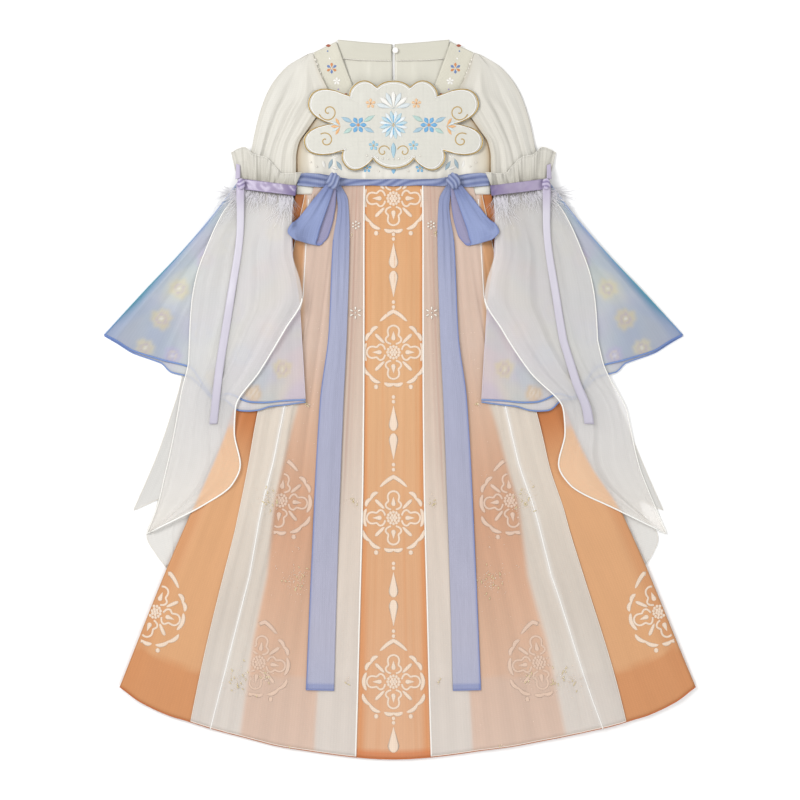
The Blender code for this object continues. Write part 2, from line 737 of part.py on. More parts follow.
def chest_plaque():
    """A stiff embroidered plaque of plain cloud lobes, domed slightly towards its middle."""
    turns = [2 * math.pi * k / PLAQUE_SPOKES for k in range(PLAQUE_SPOKES)]
    reach = np.array([plaque_reach(turn) for turn in turns])
    rings = (np.arange(PLAQUE_RINGS) + 1) / PLAQUE_RINGS
    centre_x, centre_y = PLAQUE_CENTRE
    x = np.concatenate([[centre_x]] + [centre_x + r * reach * np.cos(turns) for r in rings])
    y = np.concatenate([[centre_y]] + [centre_y + r * reach * np.sin(turns) for r in rings])
    corners = []
    for k in range(PLAQUE_SPOKES):
        after = (k + 1) % PLAQUE_SPOKES
        corners.append((0, 1 + k, 1 + after))
        for ring in range(PLAQUE_RINGS - 1):
            a = 1 + ring * PLAQUE_SPOKES + k
            b = 1 + ring * PLAQUE_SPOKES + after
            corners.append((a, a + PLAQUE_SPOKES, b + PLAQUE_SPOKES))
            corners.append((a, b + PLAQUE_SPOKES, b))
    corners = np.array(corners)
    floor = GROUND.under(x, y) + SEAM
    low = lifted(x, y, np.maximum(floor, floor.max() - PLAQUE_EDGE), corners, 6)
    count = len(x)
    high = low + PLAQUE_WALL
    high[1 + (PLAQUE_RINGS - 1) * PLAQUE_SPOKES :] -= PLAQUE_EDGE
    points = np.concatenate([np.stack([x, y, low], 1), np.stack([x, y, high], 1)])
    rim = np.arange(1 + (PLAQUE_RINGS - 1) * PLAQUE_SPOKES, count)
    after = np.roll(rim, -1)
    sides = [(a, b, b + count, a + count) for a, b in zip(rim, after, strict=True)]
    faces = [tuple(c) for c in corners + count] + [tuple(c[::-1]) for c in corners] + sides
    make_object("chest_plaque", points, faces, "embroidery")


def lump(name, x, y, half_x, half_y, rise, tone):
    """A tied knot: a rounded lump with creases round it and a flat foot."""
    sides, rings = 12, 4
    turns = [2 * math.pi * k / sides for k in range(sides)]
    plan = []
    for ring in range(rings + 1):
        share = math.sin(math.pi / 2 * (1 - ring / (rings + 0.6)))
        height = rise * math.sin(math.pi / 2 * ring / rings)
        for turn in turns:
            grow = 1 + KNOT_CREASE * math.cos(3 * turn + ring)
            across = half_x * share * grow * math.cos(turn)
            along = half_y * share * grow * math.sin(turn)
            plan.append((x + across, y + along, height))
    points = np.array(plan)
    inside = np.linspace(0, 1, 6)[:, None]
    seat = GROUND.under(x + inside * (points[:sides, 0] - x), y + inside * (points[:sides, 1] - y))
    points[:, 2] += seat.max() + SEAM
    make_object(name, points, ring_faces(sides, rings + 1), tone)


def sash():
    """The sash's front, with creases that run along it and pull towards the knots."""
    columns, lines = SASH_CELLS
    table = np.array(SASH)
    x = np.linspace(table[0, 0], table[-1, 0], columns + 1)[:, None] + np.zeros((1, lines + 1))
    share = np.linspace(0, 1, lines + 1)[None, :]
    upper = np.interp(x[:, :1], table[:, 0], table[:, 1])
    lower = np.interp(x[:, :1], table[:, 0], table[:, 2])
    y = upper + (lower - upper) * share
    crease = 0.9 * (0.5 + 0.5 * np.sin(x / 9 + 5 * share)) * (0.4 + bump((share - 0.5) * 1.6))
    low = settle(x, y) + crease
    wall_between("sash_front", x, y, low, low + SATIN_WALL, "blue_sash")


def flat_strip(name, ends, width, cells, tone, side, wall=WALL, crease=0.0):
    """A straight band between two points."""
    (x0, y0), (x1, y1) = ends
    length = math.hypot(x1 - x0, y1 - y0)
    out_x, out_y = -(y1 - y0) / length * width / 2, (x1 - x0) / length * width / 2
    rows = [(px + out_x, py + out_y, px - out_x, py - out_y) for px, py in ends]

    def wave(across, down):
        return crease * (0.5 + 0.5 * np.cos(17 * down + 3 * across))

    panel(name, rows, cells, tone, side, wall=wall, wave=wave)


def feather_strip(side):
    """The narrow strip that the locks hang from, as a bmesh, with its corner points by place."""
    x0, y0 = BAND[0][0] + 5.0, BAND[0][1] - FEATHER_DROP
    x1, y1 = BAND[1][0] - 1.0, BAND[1][1] - FEATHER_DROP
    length = math.hypot(x1 - x0, y1 - y0)
    along = ((x1 - x0) / length, (y1 - y0) / length)
    inward = (-along[1], along[0])
    root = FEATHER_ROOT / length
    ends = {0.0, 1.0} | {spot - root for spot, _, _ in FEATHERS} | {spot + root for spot, _, _ in FEATHERS}
    ends = sorted(e for e in {round(e, 5) for e in ends} if 0 <= e <= 1)
    spots = np.array(ends)
    width, thick = FEATHER_STRIP
    front_x, front_y = x0 + along[0] * length * spots, y0 + along[1] * length * spots
    back_x, back_y = front_x + inward[0] * width, front_y + inward[1] * width
    level = np.maximum(GROUND.under(side * front_x, front_y), GROUND.under(side * back_x, back_y)) + SEAM
    level = np.maximum(level, np.convolve(np.pad(level, 2, mode="edge"), np.ones(5) / 5, "valid"))
    shape = bmesh.new()
    corners = {}
    for key, px, py in (("front", front_x, front_y), ("back", back_x, back_y)):
        for k in range(len(ends)):
            for layer in (0, 1):
                corners[key, k, layer] = shape.verts.new((side * px[k], py[k], level[k] + thick * layer))
    for k in range(len(ends) - 1):
        low_front, low_next = corners["front", k, 0], corners["front", k + 1, 0]
        top_front, top_next = corners["front", k, 1], corners["front", k + 1, 1]
        low_back, low_back_next = corners["back", k, 0], corners["back", k + 1, 0]
        top_back, top_back_next = corners["back", k, 1], corners["back", k + 1, 1]
        shape.faces.new([low_front, low_next, top_next, top_front])
        shape.faces.new([low_back, low_back_next, top_back_next, top_back])
        shape.faces.new([low_front, low_next, low_back_next, low_back])
        shape.faces.new([top_front, top_next, top_back_next, top_back])
    for k in (0, len(ends) - 1):
        ring = [corners["front", k, 0], corners["front", k, 1], corners["back", k, 1], corners["back", k, 0]]
        shape.faces.new(ring)
    starts = {spot: ends.index(round(spot - root, 5)) for spot, _, _ in FEATHERS}
    return shape, corners, starts, level, along, inward


def feather_trim(name, side):
    """Tapered locks that hang from a narrow strip under the ribbon's lower edge."""
    shape, corners, starts, level, along, inward = feather_strip(side)
    half_strip = FEATHER_STRIP[1] / 2
    for spot, reach, lean in FEATHERS:
        start = starts[spot]
        quad = {corners["front", start + k, layer] for k in (0, 1) for layer in (0, 1)}
        face = next(f for f in shape.faces if set(f.verts) == quad)
        turn = math.radians(lean)
        way = [along[k] * math.sin(turn) - inward[k] * math.cos(turn) for k in (0, 1)]
        middle = face.calc_center_median()
        for step, size in enumerate(FEATHER_SIZES, start=1):
            face = bmesh.ops.extrude_discrete_faces(shape, faces=[face])["faces"][0]
            gone = reach * step / len(FEATHER_SIZES)
            px, py = middle.x + side * way[0] * gone, middle.y + way[1] * gone
            base = float(GROUND.under(np.array([px]), np.array([py]))[0]) + SEAM + half_strip
            sway = 0.6 * math.sin(spot * 40 + step) - 0.3 * step
            z = max(base + size, level[start] + half_strip + sway)
            centre = face.calc_center_median()
            for vert in face.verts:
                vert.co = Vector((px, py, z)) + (vert.co - centre).normalized() * size
    shape.verts.index_update()
    points = np.array([tuple(v.co) for v in shape.verts])
    faces = [tuple(v.index for v in f.verts) for f in shape.faces]
    shape.free()
    make_object(name, points, faces, "feather")


def sleeve_backs(suffix, side):
    """The pieces of a sleeve that lie on the surface."""
    flat_strip(f"ribbon_band_back_{suffix}", BAND, BAND_WIDTH, (1, 6), "lilac_ribbon", side)
    panel(f"veil_back_{suffix}", VEIL_BACK, (5, 10), "veil_organza", side, wall=SHEER_WALL, wider=2)


def sleeve_upper_back(suffix, side):
    """The upper sleeve's back, which ends at the seam of the back panel."""
    heights, halves = np.array(BACK_SIDE).T
    seams = [float(curve(-heights, halves, -row[1])) for row in UPPER_SLEEVE]
    rows = [(max(row[0], seam + 1.0) + 1.0, *row[1:]) for row, seam in zip(UPPER_SLEEVE, seams, strict=True)]
    panel(f"upper_sleeve_back_{suffix}", rows, (4, 7), "cream_satin", side)


def sleeve_front(suffix, side):
    """The bell sleeve, its inner layer, the veil over it and the trims at its head."""
    panel(f"bell_back_{suffix}", BELL, (12, 6), "bell_organza", side, hem=BELL_BACK_HEM, wall=SHEER_WALL)
    panel(f"bell_inner_{suffix}", INNER_BELL, (8, 4), "cream_satin", side, hem=INNER_HEM, wall=SHEER_WALL)
    panel(f"bell_front_{suffix}", BELL, (16, 7), "bell_organza", side, BELL_FOLDS, BELL_FRONT_HEM, SHEER_WALL)

    def ruffle(across, down):
        lift = 0.5 - 0.5 * np.cos(2 * np.pi * (FRILL_WAVES * down + 0.4 * np.sin(5 * down)))
        return FRILL_RISE * (1 - across) * lift

    panel(f"frill_{suffix}", FRILL, (2, 26), "veil_organza", side, wall=WALL, wave=ruffle, smooth=1)
    panel(f"veil_front_{suffix}", VEIL, (8, 12), "veil_organza", side, VEIL_FOLDS, wall=SHEER_WALL, wider=1)
    feather_trim(f"feather_trim_{suffix}", side)
    flat_strip(f"ribbon_band_{suffix}", BAND, BAND_WIDTH, (2, 12), "lilac_ribbon", side, SATIN_WALL, 0.8)
    panel(f"ribbon_tail_{suffix}", RIBBON_TAIL, (2, 14), "lilac_ribbon", side, wall=SHEER_WALL, wider=1)
    panel(f"ribbon_end_{suffix}", RIBBON_END, (1, 3), "lilac_ribbon", side, wall=SHEER_WALL)
    x, y, half_x, half_y, rise = RIBBON_KNOT
    lump(f"ribbon_knot_{suffix}", side * x, y, half_x, half_y, rise, "lilac_ribbon")


def lay_back():
    flat_strip("sash_back", SASH_BACK, SASH_BACK_WIDTH, (2, 16), "blue_sash", 1)
    for suffix, side in (("left", -1), ("right", 1)):
        sleeve_backs(suffix, side)
    for suffix, side in (("left", -1), ("right", 1)):
        side_panel(f"back_bodice_{suffix}", BACK_SIDE, side, slit, (4, 8), "cream_satin", top_dip=-2.0)
        sleeve_upper_back(suffix, side)
    skirt_layer("skirt_back", (12, 6), "orange_organza")


def lay_skirt():
    lining_hem = (LINING_Y, LINING_RISE, LINING_SHAPE)
    skirt_layer("skirt_lining", (14, 5), "lining", inset=0.02, hem=lining_hem)
    skirt_layer("skirt_front", (30, 8), "orange_organza", SKIRT_FOLDS)
    for suffix, side in (("left", -1), ("right", 1)):
        overskirt(f"overskirt_{suffix}", side)


def lay_neck():
    for suffix, side in (("left", -1), ("right", 1)):
        collar(f"back_collar_{suffix}", side)
        panel(f"neck_strap_{suffix}", STRAP, (2, 6), "embroidery", side, wall=SATIN_WALL)
    button()
    front_bodice()
    for suffix, side in (("left", -1), ("right", 1)):
        panel(f"upper_sleeve_{suffix}", UPPER_SLEEVE, (10, 8), "cream_satin", side, UPPER_FOLDS)
    chest_plaque()


def lay_bows():
    for suffix, side in (("left", -1), ("right", 1)):
        panel(f"sash_tail_{suffix}", TAIL, (3, 18), "blue_sash", side, wall=WALL)
        panel(f"bow_loop_{suffix}", LOOP, (6, 8), "blue_sash", side, LOOP_FOLDS, wall=LOOP_WALL)
        x, y, half_x, half_y, rise = SASH_KNOT
        lump(f"sash_knot_{suffix}", side * x, y, half_x, half_y, rise, "blue_sash")


def main():
    clear_scene()
    lay_back()
    lay_skirt()
    lay_neck()
    flat_strip("waistband", WAISTBAND, WAISTBAND_WIDTH, (1, 14), "cream_satin", 1)
    sash()
    for suffix, side in (("left", -1), ("right", 1)):
        sleeve_front(suffix, side)
    lay_bows()


main()
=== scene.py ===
"""The look of a child's hanfu dress laid flat on a pale floor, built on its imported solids.

Plan places are in millimetres, with x to the right of the picture and y up to the neck. A side of
-1 is the left of the picture. Each cloth is laid on what is below it, in the order it lies in.
"""

import math
import random

import bpy
import numpy as np
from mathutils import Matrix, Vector
from mathutils.bvhtree import BVHTree


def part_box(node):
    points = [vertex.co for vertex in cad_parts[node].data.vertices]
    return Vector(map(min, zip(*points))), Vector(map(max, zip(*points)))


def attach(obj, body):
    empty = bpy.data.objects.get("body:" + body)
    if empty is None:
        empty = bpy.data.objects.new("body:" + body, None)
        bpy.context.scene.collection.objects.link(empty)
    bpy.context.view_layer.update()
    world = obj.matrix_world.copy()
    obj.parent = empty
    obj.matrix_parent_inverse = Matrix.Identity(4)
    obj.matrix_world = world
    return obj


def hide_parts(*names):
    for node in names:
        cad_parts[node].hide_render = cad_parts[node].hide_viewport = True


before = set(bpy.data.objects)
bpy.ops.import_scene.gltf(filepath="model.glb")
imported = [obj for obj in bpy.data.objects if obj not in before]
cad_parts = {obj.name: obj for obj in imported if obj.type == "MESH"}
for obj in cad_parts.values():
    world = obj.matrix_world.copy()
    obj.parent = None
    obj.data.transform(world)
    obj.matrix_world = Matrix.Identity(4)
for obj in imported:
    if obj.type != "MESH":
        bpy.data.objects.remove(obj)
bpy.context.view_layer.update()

MM = 0.001
HALF_LENGTH = 489.0
WAIST_Y = 285.0
HEM_RISE = 98.5
SIDES = (("left", -1), ("right", 1))
MIDDLE_X = -8.5  # the dress's middle line, from the middle of its whole width
WALL = 0.5  # how thick a laid cloth is
LAY_GAP = 0.15  # between a cloth and what it lies on
ABOVE_ALL = 90.0  # where the rays that look for a solid's upper side start
EDGE_HEIGHT = 12.0  # the height from which a solid's nearest edge is looked for
UNDO_STEPS = 8  # how often the undoing of the wider side is made more exact
LEAST_SIDE = 0.0102  # the least width or length of a sheet's cut, in metres
LEAST_FILL = 0.31  # the least share of its rectangle that a sheet's cut fills
SPREAD = (  # y, how much wider the right side lies there: the skirt and the front veil, the back veil
    (81.0, 0.0, 0.0), (26.5, 11.0, 5.5), (-18.0, 24.5, 9.5), (-89.0, 26.0, 13.0), (-154.0, 35.0, 13.0),
    (-183.0, 35.5, 23.0), (-218.0, 36.0, 30.0), (-327.0, 37.0, 34.0), (-490.0, 42.0, 34.0),
)
SPREAD_SHARE = ((116.0, 0.0), (174.0, 0.31), (204.0, 0.6), (231.0, 0.75), (272.0, 1.0), (420.0, 1.0))

# Each section row runs across a panel: inner edge x, y and outer edge x, y. They are the ones that
# the solids were made from.
SKIRT_SIDE = (
    (285.0, 132.5), (134.0, 171.0), (-57.0, 233.0), (-140.0, 269.0), (-230.0, 308.0), (-390.5, 372.0),
)
HEM_SHAPE = (
    (-0.39, 0.84), (0.0, 1.0), (0.39, 0.84), (0.56, 0.684), (0.65, 0.594), (0.76, 0.463), (0.82, 0.394),
    (0.92, 0.2175), (1.0, 0.0),
)
LINING_HEM = (-378.0, 45.0)
LINING_SHAPE = ((-0.48, 0.89), (0.0, 1.0), (0.48, 0.89), (0.75, 0.764), (0.85, 0.51), (1.0, 0.0))
OVERSKIRT_EDGES = (
    (0.0, 0.293, 0.905), (0.25, 0.225, 0.88), (0.42, 0.189, 0.858), (0.67, 0.155, 0.778),
    (0.91, 0.140, 0.753), (1.0, 0.137, 0.742),
)
BODICE_SIDE = (
    (408.0, 84.5), (386.0, 102.5), (364.5, 117.3), (348.0, 128.0), (328.0, 131.3), (309.0, 131.0),
    (290.0, 132.0),
)
BACK_SIDE = (
    (485.0, 76.0), (470.0, 106.0), (430.0, 114.0), (390.0, 121.0), (348.0, 128.0), (309.0, 131.0),
    (290.0, 132.0),
)
COLLAR = ((2.4, 483.0, 2.8, 460.5), (40.0, 485.6, 40.0, 461.0), (76.2, 488.9, 74.5, 464.0))
STRAP = ((77.4, 486.0, 109.3, 470.6), (68.0, 460.0, 101.0, 446.0), (51.0, 415.5, 86.2, 409.0))
UPPER_SLEEVE = (
    (109.8, 470.4, 116.0, 469.0), (101.5, 447.0, 144.8, 452.3), (86.6, 410.0, 169.0, 422.0),
    (103.0, 386.0, 181.0, 392.0), (118.0, 364.5, 188.5, 363.0), (128.5, 348.0, 193.0, 340.0),
    (132.0, 328.0, 198.0, 325.0), (132.0, 309.0, 204.0, 308.0), (132.6, 287.5, 210.5, 295.0),
)
FRILL = (
    (124.0, 307.0, 132.5, 286.5), (133.0, 306.0, 137.0, 287.0), (150.5, 306.0, 152.0, 289.0),
    (161.0, 316.5, 164.0, 290.5), (175.0, 329.0, 176.0, 292.5), (189.0, 332.0, 188.0, 294.0),
    (203.0, 343.0, 200.0, 296.0), (221.0, 336.0, 211.5, 297.5),
)
BAND = ((131.0, 281.0), (211.5, 292.5))
BAND_WIDTH = 14.0
BELL = (
    (135.0, 283.0, 212.0, 293.0), (136.8, 240.0, 250.0, 244.0), (135.5, 190.0, 292.0, 196.0),
    (127.0, 130.0, 335.0, 151.0), (123.0, 66.0, 365.0, 119.0), (119.0, -4.0, 393.5, 88.4),
)
BELL_FRONT_HEM = (
    (0.0, -3.0), (0.10, 7.5), (0.22, 21.0), (0.30, 26.0), (0.37, 23.5), (0.46, 35.5), (0.50, 26.5),
    (0.577, 5.5), (0.72, 8.7), (0.85, 9.7), (0.94, 3.5), (1.0, 0.7),
)
BELL_BACK_HEM = (
    (0.0, 0.0), (0.10, 13.0), (0.18, 23.0), (0.23, 32.0), (0.29, 39.0), (0.34, 42.0), (0.40, 34.0),
    (0.46, 38.5), (0.52, 27.0), (0.58, 19.0), (0.67, 21.0), (0.72, 13.0), (0.85, 12.5), (0.94, 6.0),
    (1.0, 2.0),
)
INNER_BELL = (
    (139.0, 282.0, 208.0, 291.0), (139.0, 230.0, 252.0, 236.0), (133.0, 170.0, 295.0, 187.0),
    (130.0, 113.0, 331.0, 140.0),
)
INNER_HEM = ((0.0, 0.0), (0.3, 24.0), (0.55, 34.0), (0.75, 22.0), (1.0, 0.0))
VEIL = (
    (136.0, 274.0, 206.0, 285.0), (137.0, 240.0, 232.0, 252.0), (136.8, 202.0, 254.0, 205.0),
    (125.0, 157.0, 268.0, 165.0), (122.5, 136.0, 274.0, 130.0), (146.0, 94.0, 276.5, 96.0),
    (180.0, 38.0, 278.5, 52.0), (213.0, -11.0, 288.0, 12.0), (215.0, -45.0, 296.0, -32.0),
    (207.0, -88.0, 304.0, -72.0), (218.0, -115.0, 312.0, -106.0), (255.0, -142.0, 320.0, -140.0),
    (324.0, -177.0, 336.0, -183.0),
)
VEIL_BACK = (
    (170.0, 150.0, 262.0, 150.0), (180.0, 90.0, 280.0, 92.0), (196.0, 30.0, 288.0, 30.0),
    (218.0, -24.0, 305.0, -28.0), (232.0, -58.0, 322.0, -77.0), (246.0, -84.0, 354.0, -151.0),
    (258.0, -112.0, 320.0, -135.5), (268.0, -142.0, 325.0, -155.0), (276.0, -170.0, 336.0, -185.0),
    (285.0, -198.0, 322.0, -212.0), (296.0, -222.0, 309.0, -229.0),
)
RIBBON_TAIL = (
    (201.5, 292.0, 212.5, 291.5), (202.0, 240.0, 212.0, 240.0), (216.0, 130.0, 226.5, 131.0),
    (230.0, 40.0, 241.0, 42.0), (238.5, -33.0, 249.5, -33.5),
)
RIBBON_END = ((207.0, 299.0, 214.0, 298.0), (208.0, 318.0, 213.5, 320.0))
RIBBON_KNOT = (206.0, 291.0, 5.5, 7.5)
SASH = (
    (-130.0, 305.0, 289.0), (-118.0, 307.0, 288.0), (-100.0, 306.0, 287.0), (-82.0, 303.0, 289.0),
    (-60.0, 299.0, 289.5), (-30.0, 298.5, 290.0), (0.0, 299.0, 289.0), (30.0, 298.5, 290.0),
    (60.0, 299.5, 289.0), (82.0, 303.0, 289.0), (100.0, 306.0, 287.0), (118.0, 307.0, 288.0),
    (130.0, 305.0, 289.0),
)
SASH_BACK = ((-128.0, 303.5, -128.0, 288.5), (128.0, 303.5, 128.0, 288.5))
WAISTBAND = ((-131.0, 292.0, -131.0, 276.5), (131.0, 292.0, 131.0, 276.5))
SASH_KNOT = (81.0, 295.0, 9.5, 11.0)
LOOP = (
    (79.0, 291.0, 89.0, 292.5), (85.0, 272.0, 107.0, 272.0), (94.0, 246.0, 128.0, 246.0),
    (100.0, 228.0, 141.0, 231.0), (102.5, 218.0, 142.5, 225.0), (104.5, 213.5, 138.0, 219.5),
)
LOOP_BACK = (
    (77.0, 290.0, 88.0, 291.0), (78.0, 268.0, 104.0, 270.0), (81.0, 246.0, 120.0, 244.0),
    (85.0, 230.0, 132.0, 228.0), (89.0, 219.0, 136.0, 221.0), (95.0, 212.5, 134.0, 217.5),
)
TAIL = (
    (71.5, 290.0, 80.5, 291.0), (61.5, 270.0, 75.5, 262.0), (59.5, 228.0, 82.0, 215.0),
    (63.0, 90.0, 88.0, 88.0), (67.5, -2.0, 99.5, -2.0), (75.5, -219.0, 111.0, -219.0),
    (80.5, -395.0, 118.5, -394.0),
)
PLAQUE_LOBES = (
    (90.0, 65.0, 34.0), (48.0, 80.0, 21.0), (19.0, 122.0, 17.0), (-10.0, 124.0, 15.0), (-37.0, 84.0, 19.0),
    (-90.0, 56.0, 40.0),
)
PLAQUE_CENTRE = (0.0, 368.0)
PLAQUE_CORE = 44.0

# Creases placed one by one: where each starts and ends across the cloth, its rise or fall, its half
# width, and the stretch of the cloth's length that it covers.
SKIRT_CREASES = (
    (0.47, 0.478, 0.9, 0.012, 0.02, 0.85), (0.515, 0.512, -0.8, 0.010, 0.0, 0.7),
    (0.535, 0.53, 0.9, 0.012, 0.1, 1.0), (0.04, 0.03, 1.6, 0.02, 0.15, 1.0),
    (0.085, 0.075, -1.4, 0.016, 0.0, 0.9), (0.125, 0.10, 1.2, 0.014, 0.3, 1.0),
    (0.19, 0.175, -1.2, 0.014, 0.1, 1.0), (0.81, 0.825, -1.2, 0.014, 0.15, 1.0),
    (0.885, 0.91, 1.3, 0.014, 0.25, 1.0), (0.92, 0.935, -1.5, 0.016, 0.0, 0.85),
    (0.965, 0.972, 1.5, 0.02, 0.2, 1.0),
)
OVERSKIRT_CREASES = (
    (0.05, 0.12, -0.9, 0.03, 0.0, 0.8), (0.14, 0.20, 1.0, 0.022, 0.0, 0.6),
    (0.24, 0.30, -1.1, 0.03, 0.05, 1.0), (0.36, 0.46, 0.9, 0.02, 0.2, 0.9),
    (0.47, 0.58, -1.3, 0.03, 0.0, 1.0), (0.63, 0.78, 2.0, 0.022, 0.1, 1.0),
    (0.68, 0.83, -1.1, 0.03, 0.25, 1.0), (0.84, 0.91, -1.0, 0.03, 0.0, 0.7),
    (0.91, 0.97, 1.2, 0.02, 0.3, 1.0),
)
SLEEVE_CREASES = (
    (0.14, 0.06, 1.6, 0.05, 0.25, 1.0), (0.28, 0.20, -1.3, 0.05, 0.15, 1.0),
    (0.35, 0.30, 1.4, 0.035, 0.45, 1.0), (0.50, 0.46, -1.5, 0.05, 0.3, 1.0),
    (0.58, 0.57, 1.1, 0.03, 0.55, 1.0), (0.72, 0.69, -1.4, 0.05, 0.2, 1.0),
    (0.80, 0.77, 1.2, 0.03, 0.5, 1.0), (0.92, 0.90, -1.0, 0.04, 0.25, 1.0),
)
BODICE_CREASES = (
    (0.06, 0.10, 1.5, 0.03, 0.25, 1.0), (0.12, 0.17, -1.2, 0.03, 0.35, 1.0),
    (0.17, 0.21, 1.0, 0.02, 0.55, 1.0), (0.83, 0.79, 1.0, 0.02, 0.5, 1.0),
    (0.88, 0.84, -1.2, 0.03, 0.3, 1.0), (0.94, 0.90, 1.5, 0.03, 0.25, 1.0),
    (0.35, 0.36, 0.7, 0.02, 0.75, 1.0), (0.62, 0.61, 0.7, 0.02, 0.7, 1.0),
)
BELL_CREASES = (
    (0.05, 0.06, -1.0, 0.03, 0.0, 0.9), (0.14, 0.17, 1.2, 0.03, 0.0, 1.0),
    (0.27, 0.30, -1.4, 0.035, 0.05, 1.0), (0.40, 0.42, 1.2, 0.025, 0.2, 1.0),
    (0.53, 0.56, -1.5, 0.035, 0.0, 1.0), (0.67, 0.70, 1.2, 0.025, 0.15, 1.0),
    (0.82, 0.85, -1.3, 0.035, 0.0, 0.9), (0.93, 0.95, 1.0, 0.02, 0.3, 1.0),
)
VEIL_CREASES = (
    (0.10, 0.06, 1.0, 0.04, 0.0, 0.55), (0.22, 0.20, -1.2, 0.05, 0.0, 0.9),
    (0.40, 0.42, 1.4, 0.035, 0.05, 1.0), (0.47, 0.50, -1.0, 0.04, 0.1, 1.0),
    (0.70, 0.72, 1.2, 0.04, 0.0, 0.85), (0.88, 0.90, -1.0, 0.04, 0.1, 1.0),
)
BACK_CREASES = (
    (0.25, 0.35, 0.8, 0.05, 0.0, 0.9), (0.6, 0.5, -0.8, 0.06, 0.1, 1.0), (0.85, 0.8, 0.8, 0.05, 0.0, 1.0),
)
TAIL_CREASES = (
    (0.3, 0.35, 1.4, 0.14, 0.0, 0.25), (0.7, 0.6, 1.4, 0.14, 0.0, 0.3), (0.4, 0.5, 0.7, 0.2, 0.2, 0.8),
    (0.75, 0.8, -0.6, 0.15, 0.3, 1.0),
)
LOOP_CREASES = (
    (0.2, 0.15, 1.2, 0.06, 0.0, 0.9), (0.38, 0.40, -1.2, 0.08, 0.0, 0.8),
    (0.55, 0.60, 1.4, 0.07, 0.05, 1.0), (0.8, 0.85, -0.9, 0.07, 0.0, 0.8),
)


def linear(code):
    """A colour that is given as an sRGB hex value, in linear light."""
    parts = [int(code[k : k + 2], 16) / 255 for k in (1, 3, 5)]
    return np.array([p / 12.92 if p <= 0.04045 else ((p + 0.055) / 1.055) ** 2.4 for p in parts])


def curve(knots, values, at):
    """A smooth line through the values at the knots, which never swings past them."""
    knots = np.asarray(knots, float)
    values = np.asarray(values, float)
    steep = np.diff(values) / np.diff(knots)
    before, after = steep[:-1], steep[1:]
    same_way = before * after > 0
    total = np.where(same_way, before + after, 1.0)
    slopes = np.concatenate([steep[:1], np.where(same_way, 2 * before * after / total, 0.0), steep[-1:]])
    i = np.clip(np.searchsorted(knots, at, "right") - 1, 0, len(knots) - 2)
    span = knots[i + 1] - knots[i]
    s = (at - knots[i]) / span
    rise = values[i + 1] - values[i]
    a = span * slopes[i] - rise
    b = rise - span * slopes[i + 1]
    return values[i] + s * rise + s * (1 - s) * ((1 - s) * a + s * b)


def spread(x, y, column=1, way=1):
    """x with the lower right side laid wider, or with that undone where way is -1."""
    heights, widths = np.array(SPREAD)[:, (0, column)].T
    places, moved = np.array(SPREAD_SHARE).T
    wider = curve(-heights, widths, np.clip(-y, -heights[0], -heights[-1]))
    start = x
    for _ in range(1 if way > 0 else UNDO_STEPS):
        x = start + way * wider * curve(places, moved, np.clip(x, places[0], places[-1]))
    return x


def spread_one(x, y):
    """The same for one place."""
    return float(spread(np.array([x]), np.array([y]))[0])


def half_at(table, y):
    """How far a side edge is from the middle line at a height, from rows of a height and that reach."""
    heights, halves = np.array(table).T
    return curve(-heights, halves, -y)


def bump(t):
    """A smooth hump of height 1 between -1 and 1."""
    return np.where(np.abs(t) < 1, 0.5 + 0.5 * np.cos(np.pi * np.clip(t, -1, 1)), 0.0)


def ease(t):
    """0 below 0, 1 above 1 and smooth between them."""
    t = np.clip(t, 0, 1)
    return t * t * (3 - 2 * t)


def creases(rows, across, down):
    """The rise of the creases in a table at places on a cloth."""
    rise = np.zeros(np.broadcast(across, down).shape)
    for top, foot, height, width, start, end in rows:
        along = (down - start) / (end - start)
        fade = ease(5 * along) * ease(3 * (1 - along) + (0.6 if end >= 1 else 0.0))
        rise = rise + height * fade * bump((across - top - (foot - top) * down) / width)
    return rise


def gathers(across, down, count, depth, reach, seed):
    """Small uneven pleats that run in from the edge that is gathered."""
    chance = random.Random(seed)
    rise = np.zeros(np.broadcast(across, down).shape)
    for k in range(count):
        place = (k + chance.uniform(0.2, 0.8)) / count
        width = chance.uniform(0.35, 0.6) / count
        length = reach * chance.uniform(0.45, 1.25)
        height = depth * chance.uniform(0.5, 1.2)
        lean = chance.uniform(-0.4, 0.4) / count
        rise = rise + height * ease(1 - down / length) * bump(
            (across - place - lean * down / reach) / width
        )
    return rise


class Pile:
    """The height of what is laid so far, on a square grid over the floor."""

    PITCH = 1.6
    REACH = 520.0

    def __init__(self):
        count = int(2 * self.REACH / self.PITCH) + 1
        self.height = np.zeros((count, count))
        self.wide = self.height

    def cells(self, x, y):
        """The grid cells that places lie in."""
        i = np.rint((x + self.REACH) / self.PITCH).astype(int)
        j = np.rint((y + self.REACH) / self.PITCH).astype(int)
        return i, j

    def under(self, x, y):
        """The highest cloth at or next to places."""
        return self.wide[self.cells(x, y)]

    def put(self, x, y, z):
        """Adds a laid sheet, from the grids of its upper side."""
        fine_x, fine_y, fine_z = (finer_grid(g) for g in (x, y, z))
        np.maximum.at(self.height, self.cells(fine_x, fine_y), fine_z)
        wide = self.height
        for axis in (0, 1):
            wide = np.maximum(wide, np.maximum(np.roll(wide, 1, axis), np.roll(wide, -1, axis)))
        self.wide = wide


def finer_grid(g, times=3):
    """A grid with each cell cut finely enough that no cell of the pile is missed."""
    for axis in (0, 1):
        last = g.shape[axis] - 1
        new = np.linspace(0, last, last * times + 1)
        low = np.clip(np.floor(new).astype(int), 0, last - 1)
        share = new - low
        share = share[:, None] if axis == 0 else share[None, :]
        g = np.take(g, low, axis) * (1 - share) + np.take(g, low + 1, axis) * share
    return g


PILE = Pile()
SOLIDS = {}


